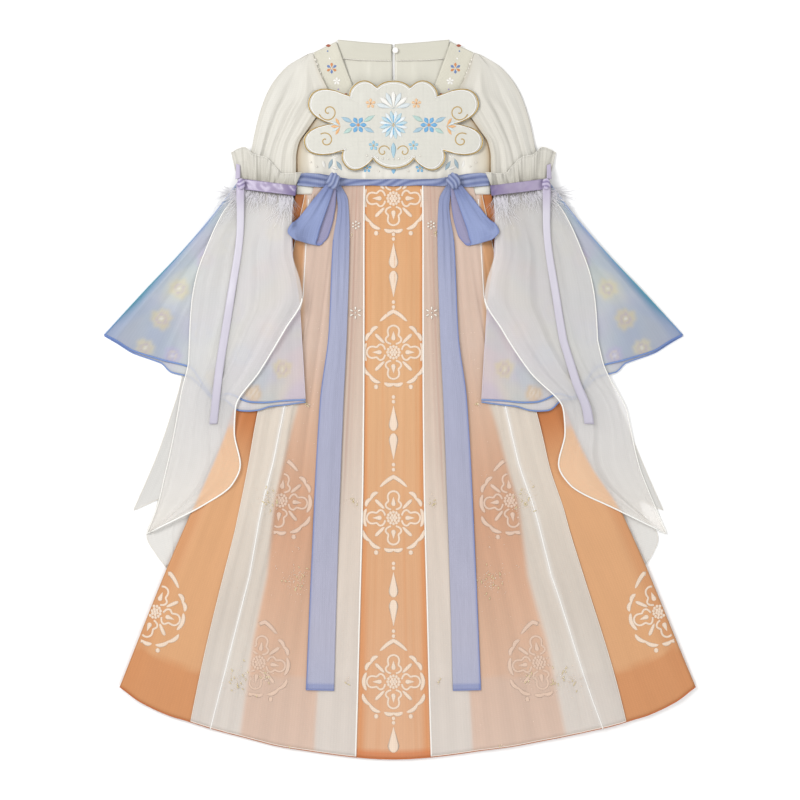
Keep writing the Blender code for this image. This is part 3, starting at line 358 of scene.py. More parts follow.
def solid(name):
    """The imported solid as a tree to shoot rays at, in millimetres."""
    if name not in SOLIDS:
        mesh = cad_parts[name].data
        points = [Vector(v.co) / MM - Vector((MIDDLE_X, 0, 0)) for v in mesh.vertices]
        SOLIDS[name] = BVHTree.FromPolygons(points, [tuple(p.vertices) for p in mesh.polygons])
    return SOLIDS[name]


def top_of(tree, x, y):
    """The height of the tree's upper side at plan places, or of its nearest edge beside them."""
    down = Vector((0, 0, -1))
    out = np.empty(x.size)
    for k, (px, py) in enumerate(zip(x.ravel(), y.ravel(), strict=True)):
        hit = tree.ray_cast(Vector((px, py, ABOVE_ALL)), down)[0]
        if hit is None:
            hit = tree.find_nearest(Vector((px, py, EDGE_HEIGHT)))[0]
        out[k] = hit.z
    return out.reshape(x.shape)


def soften(z, times):
    """A grid with each height evened out with those beside it."""
    for _ in range(times):
        p = np.pad(z, 1, mode="edge")
        z = (p[:-2, 1:-1] + p[2:, 1:-1] + p[1:-1, :-2] + p[1:-1, 2:] + 4 * z) / 8
    return z


def as_mesh(name, points, faces, cloth, flat_from=None, dye=None, cut=None):
    """A mesh object from points in millimetres. Faces from flat_from on keep a hard edge. dye is the
    colour at each point, and cut its place on the flat cloth in metres."""
    mesh = bpy.data.meshes.new(name)
    places = (np.asarray(points, float) + (MIDDLE_X, 0, 0)) * MM
    mesh.from_pydata(places.tolist(), [], [tuple(int(k) for k in f) for f in faces])
    smooth = np.ones(len(mesh.polygons), bool)
    if flat_from is not None:
        smooth[flat_from:] = False
    mesh.polygons.foreach_set("use_smooth", smooth)
    if dye is not None:
        layer = mesh.attributes.new("dye", "FLOAT_COLOR", "POINT")
        layer.data.foreach_set("color", np.concatenate([dye, np.ones((len(dye), 1))], 1).ravel())
    if cut is not None:
        layer = mesh.attributes.new("cut", "FLOAT_VECTOR", "POINT")
        layer.data.foreach_set("vector", np.concatenate([cut, np.zeros((len(cut), 1))], 1).ravel())
    mesh.materials.append(cloth)
    made = bpy.data.objects.new(name, mesh)
    bpy.context.scene.collection.objects.link(made)
    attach(made, "root")
    return made


def grid_quads(columns, lines):
    """The faces of a grid of points."""
    i, j = np.meshgrid(np.arange(columns), np.arange(lines), indexing="ij")
    a = (i * (lines + 1) + j).ravel()
    return np.stack([a, a + lines + 1, a + lines + 2, a + 1], 1)


def rim_of(columns, lines):
    """The points round the edge of a grid, in order."""
    number = np.arange((columns + 1) * (lines + 1)).reshape(columns + 1, lines + 1)
    return np.concatenate([number[:-1, 0], number[-1, :-1], number[:0:-1, -1], number[0, :0:-1]])


def flat_places(x, y, z):
    """Where each point of a grid is on its flat cloth, in metres."""
    p = np.stack([x, y, z], -1) * MM
    right = np.linalg.norm(np.diff(p, axis=0), axis=-1).mean(1)
    ahead = np.linalg.norm(np.diff(p, axis=1), axis=-1).mean(0)
    u = np.concatenate([[0], np.cumsum(right)])[:, None] + np.zeros((1, x.shape[1]))
    v = np.concatenate([[0], np.cumsum(ahead)])[None, :] + np.zeros((x.shape[0], 1))
    return np.stack([u.ravel(), v.ravel()], 1)


def wall(name, low, top, flip, cloth, dye, cut):
    """A closed wall of cloth between two grids of points, with a hard edge all round."""
    columns, lines = low.shape[0] - 1, low.shape[1] - 1
    count = low.shape[0] * low.shape[1]
    quads = grid_quads(columns, lines)
    rim = rim_of(columns, lines)
    after = np.roll(rim, -1)
    sides = np.stack([rim, after, after + count, rim + count], 1)
    faces = [quads + count, quads[:, ::-1], sides]
    if flip:
        faces = [quads[:, ::-1] + count, quads, sides[:, ::-1]]
    points = np.concatenate([low.reshape(-1, 3), top.reshape(-1, 3)])
    dyes, cuts = np.concatenate([dye, dye]), np.concatenate([cut, cut])
    return as_mesh(name, points, np.concatenate(faces), cloth, 2 * len(quads), dyes, cuts)


def shell(name, x, y, top, low, cloth, dye):
    """A wall of cloth between two heights, with its faces turned outwards."""
    under = np.stack([x, y, low], -1)
    u, v = under[1, 0] - under[0, 0], under[0, 1] - under[0, 0]
    flip = u[0] * v[1] - u[1] * v[0] <= 0
    return wall(name, under, np.stack([x, y, top], -1), flip, cloth, dye, flat_places(x, y, top))


SURFACES = {}
SKINS = {}


def declare(made, node, x, y, z, held):
    """Works out the sheet's cut: the size and the area that it has laid out flat, in metres. Nothing is
    done with them.
    """
    p = np.stack([x, y, z], -1) * MM
    one = np.cross(p[1:, :-1] - p[:-1, :-1], p[:-1, 1:] - p[:-1, :-1])
    two = np.cross(p[:-1, 1:] - p[1:, 1:], p[1:, :-1] - p[1:, 1:])
    area = float(np.linalg.norm(one, axis=-1).sum() + np.linalg.norm(two, axis=-1).sum()) / 2
    width = float(np.linalg.norm(np.diff(p, axis=0), axis=-1).sum(0).max())
    length = float(np.linalg.norm(np.diff(p, axis=1), axis=-1).sum(1).max())
    width, length = max(width, LEAST_SIDE), max(length, LEAST_SIDE)
    area = min(max(area, LEAST_FILL * width * length), width * length)


def lay(node, plan, cloth, dye, relief=0.0, softness=6, held="laid"):
    """Lays a sheet on its solid's form, with its creases, and clear of what is below it."""
    x, y = plan[:2]
    top = soften(top_of(solid(node), x, y), softness) + relief
    top = np.maximum(top, PILE.under(x, y) + LAY_GAP + WALL)
    for _ in range(3):
        top = np.maximum(top, soften(top, 1))
    colours = np.broadcast_to(dye, (*x.shape, 3)).reshape(-1, 3)
    made = shell(node + "_cloth", x, y, top, top - WALL, cloth, colours)
    PILE.put(x, y, top)
    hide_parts(node)
    declare(made, node, x, y, top, held)
    keep_skin(node, x, y, top)


def keep_skin(node, x, y, top):
    """Keeps a laid sheet's upper side, so that prints, beads and pipings can be put on it."""
    SURFACES[node] = (x, y, top)
    points = [Vector(p) for p in np.stack([x.ravel(), y.ravel(), top.ravel()], 1)]
    SKINS[node] = BVHTree.FromPolygons(points, grid_quads(x.shape[0] - 1, x.shape[1] - 1).tolist())


def shares(columns, lines, start=0.0, end=1.0):
    """How far across, from start to end, and how far down each point of a grid is."""
    across = np.linspace(start, end, columns + 1)[:, None] + np.zeros((1, lines + 1))
    down = np.linspace(0, 1, lines + 1)[None, :] + np.zeros((columns + 1, 1))
    return across, down


def sections(rows, columns, lines, side=1, hem=None, wider=0):
    """Plan places on a panel, with how far across and down each is. wider is its column of SPREAD."""
    table = np.array(rows, float)
    middles = (table[:, :2] + table[:, 2:]) / 2
    steps = np.hypot(*np.diff(middles, axis=0).T)
    knots = np.concatenate([[0], np.cumsum(steps)]) / steps.sum()
    across, down = shares(columns, lines)
    inner_x, inner_y, outer_x, outer_y = (curve(knots, table[:, k], down) for k in range(4))
    x = inner_x + (outer_x - inner_x) * across
    y = inner_y + (outer_y - inner_y) * across
    if hem:
        spots, drops = zip(*hem, strict=True)
        y = y - curve(spots, drops, across) * down**3
    x = spread(side * x, y, wider) if wider else side * x
    return x, y, across, down


def skirt_plan(across, down, hem_y=-HALF_LENGTH, rise=HEM_RISE, shape=HEM_SHAPE):
    """Plan places on the skirt. Its upper edge runs up under the sash, and lower at the sides, where
    the white waistband shows."""
    spots, drops = np.array(shape).T
    side_y = WAIST_Y + (hem_y + rise - WAIST_Y) * down
    top = 7.0 - 15.0 * ease((np.abs(across) * SKIRT_SIDE[0][1] - 106.0) / 5.0)
    y = side_y + top * (1 - down) ** 12 - rise * down**1.5 * curve(spots, drops, np.abs(across))
    return across * half_at(SKIRT_SIDE, side_y), y


def skirt_grid(columns, lines, inset=0.0, **hem):
    """The places of a whole skirt panel, from side to side."""
    across, down = shares(columns, lines, inset - 1, 1 - inset)
    x, y = skirt_plan(across, down, **hem)
    return spread(x, y), y, (across + 1) / 2, down


def overskirt_grid(columns, lines, side):
    """The places of one overskirt panel, from its inner to its outer edge."""
    share, down = shares(columns, lines)
    spots, inner, outer = np.array(OVERSKIRT_EDGES).T
    start, end = curve(spots, inner, down), curve(spots, outer, down)
    x, y = skirt_plan(start + (end - start) * share, down, 1.5 - HALF_LENGTH)
    return spread(side * x, y), y, share, down


def side_grid(table, columns, lines, side, middle, top_dip=0.0):
    """The places of a half panel, from its edge near the middle line to its side edge."""
    share, down = shares(columns, lines)
    edge_y = table[0][0] + (table[-1][0] - table[0][0]) * down
    inner = middle(edge_y)
    x = side * (inner + (half_at(table, edge_y) - inner) * share)
    return x, edge_y + top_dip * (1 - share) * (1 - down), share, down


def strip(ends, width):
    """The section rows of a straight band between two points."""
    (x0, y0), (x1, y1) = ends
    length = math.hypot(x1 - x0, y1 - y0)
    out_x, out_y = -(y1 - y0) / length * width / 2, (x1 - x0) / length * width / 2
    return [(px + out_x, py + out_y, px - out_x, py - out_y) for px, py in ends]


def add(tree, kind, values=None, links=None, **settings):
    """Adds one node with its settings, its values and what comes into it."""
    node = tree.nodes.new(kind)
    for key, value in settings.items():
        setattr(node, key, value)
    for key, value in (values or {}).items():
        node.inputs[key].default_value = value
    for key, source in (links or {}).items():
        tree.links.new(source, node.inputs[key])
    return node


CLOTH_TONE = 0.8  # the light turns the paper white, and this keeps opaque cloth at its own tone


def woven(
    name, roughness, sheen, alpha=1.0, thread=2.7, streak=5.0, cloudy=0.05, streaky=0.07, ribbed=0.05,
    depth=0.10, tone=CLOTH_TONE,
):
    """A dyed cloth. Its threads are 0.2 mm apart, and are drawn in groups that are thread mm apart, so
    that they show. Streaks run along its length, as in silk of uneven yarn."""
    made = bpy.data.materials.new(name)
    made.use_nodes = True
    tree = made.node_tree
    shader = tree.nodes["Principled BSDF"]
    cut = add(tree, "ShaderNodeAttribute", attribute_name="cut").outputs["Vector"]
    tint = add(tree, "ShaderNodeAttribute", attribute_name="dye").outputs["Color"]
    drawn = add(
        tree, "ShaderNodeVectorMath", {1: (1.0, 0.07, 1.0)}, {0: cut}, operation="MULTIPLY",
    ).outputs["Vector"]
    slub = add(
        tree, "ShaderNodeTexNoise", {"Scale": 1 / (streak * MM), "Detail": 3.0}, {"Vector": drawn},
    ).outputs["Fac"]
    cloud = add(tree, "ShaderNodeTexNoise", {"Scale": 24.0, "Detail": 4.0}, {"Vector": cut}).outputs["Fac"]
    beat = math.pi / (10 * thread * MM)
    warp = add(
        tree, "ShaderNodeTexWave", {"Scale": beat}, {"Vector": cut}, bands_direction="X",
    ).outputs["Fac"]
    weft = add(
        tree, "ShaderNodeTexWave", {"Scale": beat}, {"Vector": cut}, bands_direction="Y",
    ).outputs["Fac"]
    grain = add(tree, "ShaderNodeMath", links={0: warp, 1: weft}, operation="MULTIPLY").outputs[0]
    level = tone - cloudy / 2 - streaky / 2 - ribbed / 4
    one = add(
        tree, "ShaderNodeMath", {1: cloudy, 2: level}, {0: cloud}, operation="MULTIPLY_ADD",
    ).outputs[0]
    two = add(tree, "ShaderNodeMath", {1: streaky}, {0: slub, 2: one}, operation="MULTIPLY_ADD").outputs[0]
    three = add(
        tree, "ShaderNodeMath", {1: ribbed}, {0: grain, 2: two}, operation="MULTIPLY_ADD",
    ).outputs[0]
    dyed = add(
        tree, "ShaderNodeVectorMath", links={0: tint, "Scale": three}, operation="SCALE",
    ).outputs["Vector"]
    height = add(tree, "ShaderNodeMath", {1: 2.0}, {0: slub, 2: grain}, operation="MULTIPLY_ADD").outputs[0]
    bumps = add(
        tree, "ShaderNodeBump", {"Distance": depth * MM, "Strength": 0.8}, {"Height": height},
    ).outputs["Normal"]
    tree.links.new(dyed, shader.inputs["Base Color"])
    tree.links.new(bumps, shader.inputs["Normal"])
    shader.inputs["Roughness"].default_value = roughness
    shader.inputs["Sheen Weight"].default_value = sheen
    shader.inputs["Sheen Roughness"].default_value = 0.4
    shader.inputs["Alpha"].default_value = alpha
    return made


# Smooth and softly shining, with hardly any thread to see.
SATIN = woven("cream_satin", 0.38, 0.25, thread=2.0, ribbed=0.02, depth=0.05)
# Crisp and a little shiny, with fine threads both ways.
ORANGE = woven("printed_orange_organza", 0.55, 0.15)
# Dull and close.
LINING = woven("cotton_lining", 0.8, 0.1)
# Thin, so that what is below is a faint shadow.
OVERSKIRT = woven("dyed_overskirt_organza", 0.5, 0.2, alpha=0.62, tone=0.97)
# Streaky and crinkled.
SASH_CREPE = woven("sash_crepe_chiffon", 0.62, 0.2, streak=3.0, streaky=0.12, depth=0.25, tone=0.72)
# Sheer, so that the layer inside shows as a paler shape.
BELL_SHEER = woven("printed_sleeve_organza", 0.45, 0.25, alpha=0.52, tone=0.97)
# The same cloth where it lies double.
BELL_SOLID = woven("sleeve_organza_doubled", 0.5, 0.2)
# Very sheer, so that the sleeve and skirt show through.
VEIL_SHEER = woven("plain_veil_organza", 0.45, 0.25, alpha=0.33, tone=1.0)
# The same cloth where it lies double.
VEIL_SOLID = woven("plain_veil_organza_doubled", 0.5, 0.2)
# Cream and only just see-through.
UPPER_SHEER = woven("cream_sleeve_chiffon", 0.5, 0.2, alpha=0.8, tone=0.87)
# The glossiest cloth, in narrow bands.
RIBBON_SATIN = woven("lilac_ribbon_satin", 0.28, 0.3, thread=2.0, ribbed=0.02, depth=0.04)
# Soft and dull, with light through its barbs.
DOWN = woven("feather_down", 0.8, 0.4, alpha=0.75, streak=2.0, tone=1.0)
# Thick silk thread laid side by side.
STITCH = woven("satin_stitch", 0.4, 0.3, thread=1.8, ribbed=0.12, depth=0.3)
# Coloured silk in short stitches, streaky as thread is.
STITCH_BRIGHT = woven(
    "coloured_silk_stitch", 0.38, 0.3, thread=1.5, streak=1.8, streaky=0.16, ribbed=0.10, depth=0.25,
    tone=0.84,
)
# A smooth corded edge that catches the light.
PIPING = woven("corded_piping", 0.5, 0.2, thread=1.6, streaky=0.03, ribbed=0.10, tone=0.86)
# The sash's own cloth, rolled.
SASH_ROLL = woven("sash_rolled_hem", 0.62, 0.2, thread=1.6, tone=0.74)
# The skirt's own cloth, rolled.
ORANGE_ROLL = woven("orange_rolled_hem", 0.6, 0.15, thread=1.6)
# A chalky white print that lies on the cloth.
PRINT_INK = woven("white_print", 0.7, 0.1, streaky=0.10, ribbed=0.08, depth=0.05, tone=0.8)


def glossy(name, code, roughness, coat, metallic=0.0, fleck=0.12):
    """A bead or cord finish with small flecks of lighter and darker tone."""
    made = bpy.data.materials.new(name)
    made.use_nodes = True
    tree = made.node_tree
    shader = tree.nodes["Principled BSDF"]
    spot = add(tree, "ShaderNodeTexCoord").outputs["Object"]
    noise = add(
        tree, "ShaderNodeTexNoise", {"Scale": 700.0, "Detail": 2.0}, {"Vector": spot},
    ).outputs["Fac"]
    level = add(
        tree, "ShaderNodeMath", {1: 2 * fleck, 2: 1 - fleck}, {0: noise}, operation="MULTIPLY_ADD",
    ).outputs[0]
    colour = tuple(linear(code))
    tint = add(
        tree, "ShaderNodeVectorMath", {0: colour}, {"Scale": level}, operation="SCALE",
    ).outputs["Vector"]
    tree.links.new(tint, shader.inputs["Base Color"])
    shader.inputs["Roughness"].default_value = roughness
    shader.inputs["Metallic"].default_value = metallic
    shader.inputs["Coat Weight"].default_value = coat
    return made


# A pale bead with a soft glint.
PEARL = glossy("pearl", "#DFDAD0", 0.22, 0.5)
# Tiny glass beads.
SEED = glossy("seed_bead_glass", "#E7D6C4", 0.2, 0.6)
# Long gilt beads, duller than the pearls.
LEAF = glossy("gilt_leaf_bead", "#D8C9A0", 0.3, 0.4, 0.2)
# A dull metal cord.
GOLD = glossy("gold_cord", "#B5954F", 0.38, 0.2, 0.55, 0.25)


def tones(at, *rows):
    """The colour at a share, from rows of a place and a colour, blended between them."""
    places = [row[0] for row in rows]
    colours = np.array([linear(row[1]) for row in rows])
    return np.stack([np.interp(at, places, colours[:, k]) for k in range(3)], -1)


def mix(one, two, share):
    """A blend from the first colour at 0 to the second at 1."""
    share = np.asarray(share)[..., None]
    return one * (1 - share) + two * share


def lining_edge(x):
    """How high the lining's hem is, which shows as a darker band through the skirt below it."""
    across = np.linspace(0, 0.98, 60)
    edge_x, edge_y = skirt_plan(across, np.ones(60), LINING_HEM[0], LINING_HEM[1], LINING_SHAPE)
    level = np.full(np.shape(x), LINING_HEM[0])
    return np.interp(np.abs(spread(x, level, way=-1)), edge_x, edge_y)


# Height, and how far from the middle line the cream strip and the peach strip end.
STRIPES = (
    (271.0, 82.0, 116.3), (190.0, 88.0, 119.0), (94.5, 90.0, 123.0), (-1.0, 93.0, 127.0),
    (-35.0, 93.5, 137.0), (-137.0, 95.0, 161.0), (-239.0, 97.0, 171.4), (-327.0, 99.0, 190.3),
    (-459.0, 107.0, 208.8), (-492.0, 108.0, 214.0),
)
FOLD_LINE = (  # height and reach of the pressed white line
    (271.0, 115.0), (208.0, 118.7), (140.0, 122.5), (116.7, 127.8), (85.5, 131.0), (30.0, 141.0),
    (-17.0, 149.3), (-85.0, 163.0), (-137.0, 176.5), (-171.0, 183.3), (-239.0, 195.2), (-440.0, 246.8),
    (-490.0, 259.0),
)


def skirt_dye(x, y, across, down):
    """Orange, darker at the sides, down the panel's edges and below the lining's hem, with painted
    shade high on the sides, under the sleeves.
    """
    out = np.abs(2 * across - 1)
    colour = tones(down, (0.0, "#DBA26E"), (0.35, "#DFAC7C"), (0.7, "#DDA87C"), (1.0, "#E2B08A"))
    colour = mix(colour, linear("#DDA574"), ease((out - 0.6) / 0.2) * ease((down - 0.35) / 0.2))
    # Painted shade: the upper sides darken where the sleeves and veils lie over the skirt.
    shade = ease((out - 0.60) / 0.12) * (1 - ease((down - 0.43) / 0.14))
    colour = mix(colour, linear("#C27438"), shade)
    colour = mix(colour, linear("#CB8048"), 0.4 * bump((out - 0.985) / 0.05))
    unlined = ease((lining_edge(x) - y) / 4) * ease((out - 0.2) / 0.1)
    colour = mix(colour, linear("#D28D58"), 0.85 * unlined)
    spots, inner, _ = np.array(OVERSKIRT_EDGES).T
    inward = curve(spots, inner, down) - out
    colour = mix(colour, linear("#D98B4E"), 0.75 * bump((inward - 0.012) / 0.022))
    for place, strength in ((0.055, 0.35), (0.10, 0.22), (0.155, 0.3)):
        streak = bump((inward - place * (1 - 0.5 * down)) / 0.012)
        patchy = 0.6 + 0.4 * np.sin(9 * down + 40 * place + 2 * np.sign(x))
        colour = mix(colour, linear("#D2884E"), strength * (streak * patchy))
    hem = (out < 0.17) * ease((down - 0.988) / 0.003)
    return mix(colour, linear("#D57B42"), 0.8 * hem)


def overskirt_dye(x, y, share, down):
    """A cream, a peach and a white strip side by side, with the pressed line and soft streaks."""
    away = np.abs(spread(x, y, way=-1))
    heights, first, second = np.array(STRIPES).T
    one, two = np.interp(-y, -heights, first), np.interp(-y, -heights, second)
    cream = tones(down, (0.0, "#D6BBAA"), (0.3, "#DEC7B6"), (0.6, "#E2D5C8"), (1.0, "#E9E2DA"))
    peach = tones(
        down, (0.0, "#E0C8B8"), (0.3, "#E0C6B5"), (0.42, "#E0BCA2"),
        (0.6, "#D7A685"), (0.8, "#E0B99D"), (1.0, "#E6C7B2"),
    )
    white = tones(
        down, (0.0, "#D79B64"), (0.2, "#DFAE80"), (0.33, "#E3C3A2"),
        (0.4, "#E4DACC"), (0.8, "#DFD6CB"), (1.0, "#E6E0D8"),
    )
    colour = mix(cream, peach, ease((away - one + 3) / 6))
    colour = mix(colour, white, ease((away - two + 4) / 8))
    rows, line = np.array(FOLD_LINE).T
    bright = bump((away - np.interp(-y, -rows, line)) / 4.5) * (0.35 + 0.65 * (y < 20))
    colour = mix(colour, linear("#F6F3EE"), 0.85 * bright)
    fade = 1 - ease((down - 0.45) / 0.2)
    for place, strength in ((0.13, 0.40), (0.20, 0.25), (0.09, 0.15)):
        streak = bump((share - place - 0.06 * down) / 0.018)
        colour = mix(colour, linear("#B88478"), strength * streak * fade)
    uneven = 0.05 * np.sin(37 * share + 3 * np.sin(5 * down)) * np.sin(23 * share + 1.3)
    colour = colour * (1 + uneven)[..., None]
    return mix(colour, linear("#D8CFC8"), 0.25 * ease((lining_edge(x) - y) / 5))


CLOUDS = (  # wide, tall, where it starts, colour, strength
    (24.0, 31.0, 0.4, "#BAC5DA", 0.35), (19.0, 22.0, 2.1, "#E0DDC2", 0.34),
    (28.0, 18.0, 4.0, "#C9C0DA", 0.34), (15.0, 26.0, 5.2, "#BDD0D6", 0.25),
)
BLOSSOMS = (  # middle x, y, size, petals, ring
    (314.8, 109.5, 16.0, "#E9D596", "#B9A5D0"), (338.0, 70.0, 14.0, "#EBDCA6", "#B2A0CB"),
    (290.4, 150.3, 15.0, "#E8D9A8", "#BBAAD2"), (150.3, 41.5, 14.0, "#EAD79A", "#B7A3CF"),
    (189.7, 7.5, 13.0, "#EBC078", "#F5F1EC"), (255.0, 190.0, 14.0, "#C9BBDC", "#EFE0B0"),
    (262.0, 90.0, 17.0, "#B9C6E2", "#F0E6C4"), (215.0, 120.0, 16.0, "#C8BEE0", "#EFDFA8"),
    (170.0, 95.0, 15.0, "#E4C9D2", "#F1E2B4"), (205.0, 60.0, 15.0, "#B7C5E3", "#F3ECD8"),
    (300.0, 60.0, 13.0, "#C4B8DC", "#F0E3B2"), (178.0, 175.0, 15.0, "#E6D0C8", "#C3B2DA"),
    (220.0, 215.0, 12.0, "#BFC9E0", "#F0E3B2"), (160.0, 225.0, 13.0, "#E8DCA9", "#BDADD6"),
    (245.0, 30.0, 12.0, "#E9D79C", "#BDADD6"),
)


def blot(x, y, size, ragged):
    """How much of a soft, ragged patch of watercolour is at a place, from its middle."""
    turn = np.arctan2(y, x)
    wave = 0.06 * np.sin(3 * turn + ragged) + 0.04 * np.sin(5 * turn - 2 * ragged)
    wave = wave + 0.06 * np.sin(8 * turn + 3 * ragged)
    return ease((1 + wave - np.hypot(x, y) / size) / 0.5)


def bell_dye(x, y, across, down):
    """Watercolour: pale lilac and grey-blue clouds, blurred blossoms, and teal at the outer edge."""
    colour = tones(
        across, (0.0, "#DFD0D2"), (0.25, "#DAD3D6"), (0.5, "#D4D6D8"),
        (0.75, "#C6CDD6"), (0.94, "#B4C0CF"), (1.0, "#7C9AC6"),
    )
    out = np.abs(x)
    for wide, tall, lean, tint, strength in CLOUDS:
        cloud = np.sin(out / wide + lean) * np.sin(y / tall + 2 * lean)
        cloud = cloud + 0.5 * np.sin((out + y) / (0.6 * wide) + 3 * lean)
        colour = mix(colour, linear(tint), strength * ease(cloud))
    tip = ease((out - 280.0) / 40.0) * ease((150.0 - y) / 50.0)
    colour = mix(colour, linear("#A3ADC8"), 0.55 * tip)
    for spot_x, spot_y, size, petal, heart in BLOSSOMS:
        near_x, near_y = out - spot_x, y - spot_y
        colour = mix(colour, linear(petal), 0.5 * blot(near_x, near_y, 1.15 * size, spot_x))
        ring = blot(near_x, near_y, 0.62 * size, spot_y) - blot(near_x, near_y, 0.42 * size, spot_x)
        colour = mix(colour, linear(heart), 0.5 * np.clip(ring, 0, 1))
        colour = mix(colour, linear("#F1F0EE"), 0.6 * blot(near_x, near_y, 0.2 * size, spot_y))
    teal = bump((y - 140.0) / 48.0) * ease((across - 0.945) / 0.055)
    return mix(colour, linear("#3F93AE"), 0.8 * teal)


def bow_loop(suffix, side):
    """One band of the sash that goes down and comes back over itself."""
    node = f"bow_loop_{suffix}"
    columns, lines, turns = 16, 26, 7
    back_x, back_y, share, down = sections(LOOP_BACK, columns, lines, side)
    front_x, front_y = sections(LOOP, columns, lines, side)[:2]
    tree = solid(node)
    up = Vector((0, 0, 1))
    low = np.empty(back_x.size)
    for k, (px, py) in enumerate(zip(back_x.ravel(), back_y.ravel(), strict=True)):
        hit = tree.ray_cast(Vector((px, py, -5.0)), up)[0] or tree.find_nearest(Vector((px, py, 5.0)))[0]
        low[k] = hit.z
    low = np.maximum(soften(low.reshape(back_x.shape), 4), PILE.under(back_x, back_y) + 0.9)
    high = soften(top_of(tree, front_x, front_y), 4) - 0.4 + creases(LOOP_CREASES, share, down)
    high = np.maximum(np.maximum(high, PILE.under(front_x, front_y) + 2.2), low + 1.2)
    low, high = np.maximum(low, soften(low, 2)), np.maximum(high, soften(high, 3))
    back = np.stack([back_x, back_y, low], -1)
    front = np.stack([front_x, front_y, high], -1)
    out = np.stack([front_x[:, -1] - front_x[:, -2], front_y[:, -1] - front_y[:, -2], 0 * low[:, -1]], 1)
    out /= np.hypot(out[:, :1], out[:, 1:2])
    rows = [back[:, k] for k in range(lines + 1)]
    for k in range(1, turns):
        angle = math.pi * k / turns
        gone = (1 - math.cos(angle)) / 2
        rows.append(back[:, -1] * (1 - gone) + front[:, -1] * gone + out * (5.0 * math.sin(angle)))
    rows += [front[:, k] for k in range(lines, -1, -1)]
    p = np.stack(rows, 1)
    over = np.linspace(0, 1, p.shape[1])[None, :] + 0 * p[:, :, 0]
    colour = mix(linear("#A09CBE"), linear("#97A5D2"), ease((over - 0.45) / 0.06))
    colour = mix(colour, linear("#7480B4"), 0.6 * bump((over - 0.98) / 0.16))
    edge = bump((share[:, :1] - 1) / 0.08) + bump(share[:, :1] / 0.08)
    colour = mix(colour, linear("#6F85CC"), 0.55 * np.clip(edge + 0 * over, 0, 1))
    colour = mix(colour, linear("#6F85CC"), 0.6 * bump((over - 0.47) / 0.04))
    made = thick_sheet(node + "_cloth", p, SASH_CREPE, colour.reshape(-1, 3), side > 0)
    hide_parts(node)
    declare(made, node, *p.transpose(2, 0, 1), "folded")


def thick_sheet(name, p, cloth, dye, flip):
    """A closed sheet with half of its wall on either side of a grid of points."""
    normal = np.cross(np.gradient(p, axis=0), np.gradient(p, axis=1))
    normal /= np.maximum(np.linalg.norm(normal, axis=-1, keepdims=True), 1e-9)
    half = (-normal if flip else normal) * WALL / 2
    return wall(name, p - half, p + half, flip, cloth, dye, flat_places(*p.transpose(2, 0, 1)))


def knot(name, spot, rise, base, cloth, dark, light, wraps, slant):
    """A tied knot: a rounded lump with the band's folds wrapped over it at a slant in degrees. dark
    is painted shade in the hollows between the folds, and light the colour on their ridges.
    """
    x, y, half_x, half_y = spot
    sides, rings = 60, 22
    u = np.linspace(0, 2 * math.pi, sides, endpoint=False)[:, None]
    v = np.linspace(0, math.pi / 2, rings + 1)[None, :]
    lean = math.radians(slant)
    way = np.cos(u - lean) * np.cos(v)
    over = np.sin(u - lean) * np.cos(v)
    fold = 0.5 + 0.5 * np.cos(2 * math.pi * (wraps * way + 0.35 * over**2 + 0.12 * np.sin(3 * over)))
    fold = fold**0.7
    swell = 1 + 0.13 * (fold - 0.6)
    px = x + half_x * np.cos(u) * np.cos(v) * swell
    py = y + half_y * np.sin(u) * np.cos(v) * swell
    pz = base + rise * np.sin(v) ** 0.8 * (0.74 + 0.26 * fold)
    points = np.concatenate([np.stack([px, py, pz], -1).transpose(1, 0, 2).reshape(-1, 3), [[x, y, base]]])
    faces = []
    for ring in range(rings):
        for k in range(sides):
            a, b = ring * sides + k, ring * sides + (k + 1) % sides
            faces.append((a, b, b + sides, a + sides) if ring < rings - 1 else (a, b, rings * sides))
    foot = len(points) - 1
    faces += [(foot, (k + 1) % sides, k) for k in range(sides)]
    # Painted shade: the colour darkens in the hollows between the folds.
    tone = mix(linear(dark), linear(light), fold).transpose(1, 0, 2).reshape(-1, 3)
    dye = np.concatenate([tone, [linear(dark)]])
    return as_mesh(name, points, faces, cloth, len(faces) - sides, dye, points[:, :2] * MM)


FEATHERS = (  # along the strip 0 to 1, length, lean in degrees
    (0.03, 30.0, -8.0), (0.07, 38.0, 6.0), (0.11, 26.0, 20.0), (0.16, 42.0, 12.0), (0.22, 34.0, -10.0),
    (0.32, 24.0, 16.0), (0.42, 24.0, -6.0), (0.54, 22.0, 10.0), (0.67, 26.0, -4.0), (0.73, 22.0, 18.0),
    (0.79, 28.0, 36.0), (0.84, 44.0, 48.0), (0.89, 58.0, 58.0), (0.93, 64.0, 66.0), (0.97, 60.0, 76.0),
)
BARBS = 20


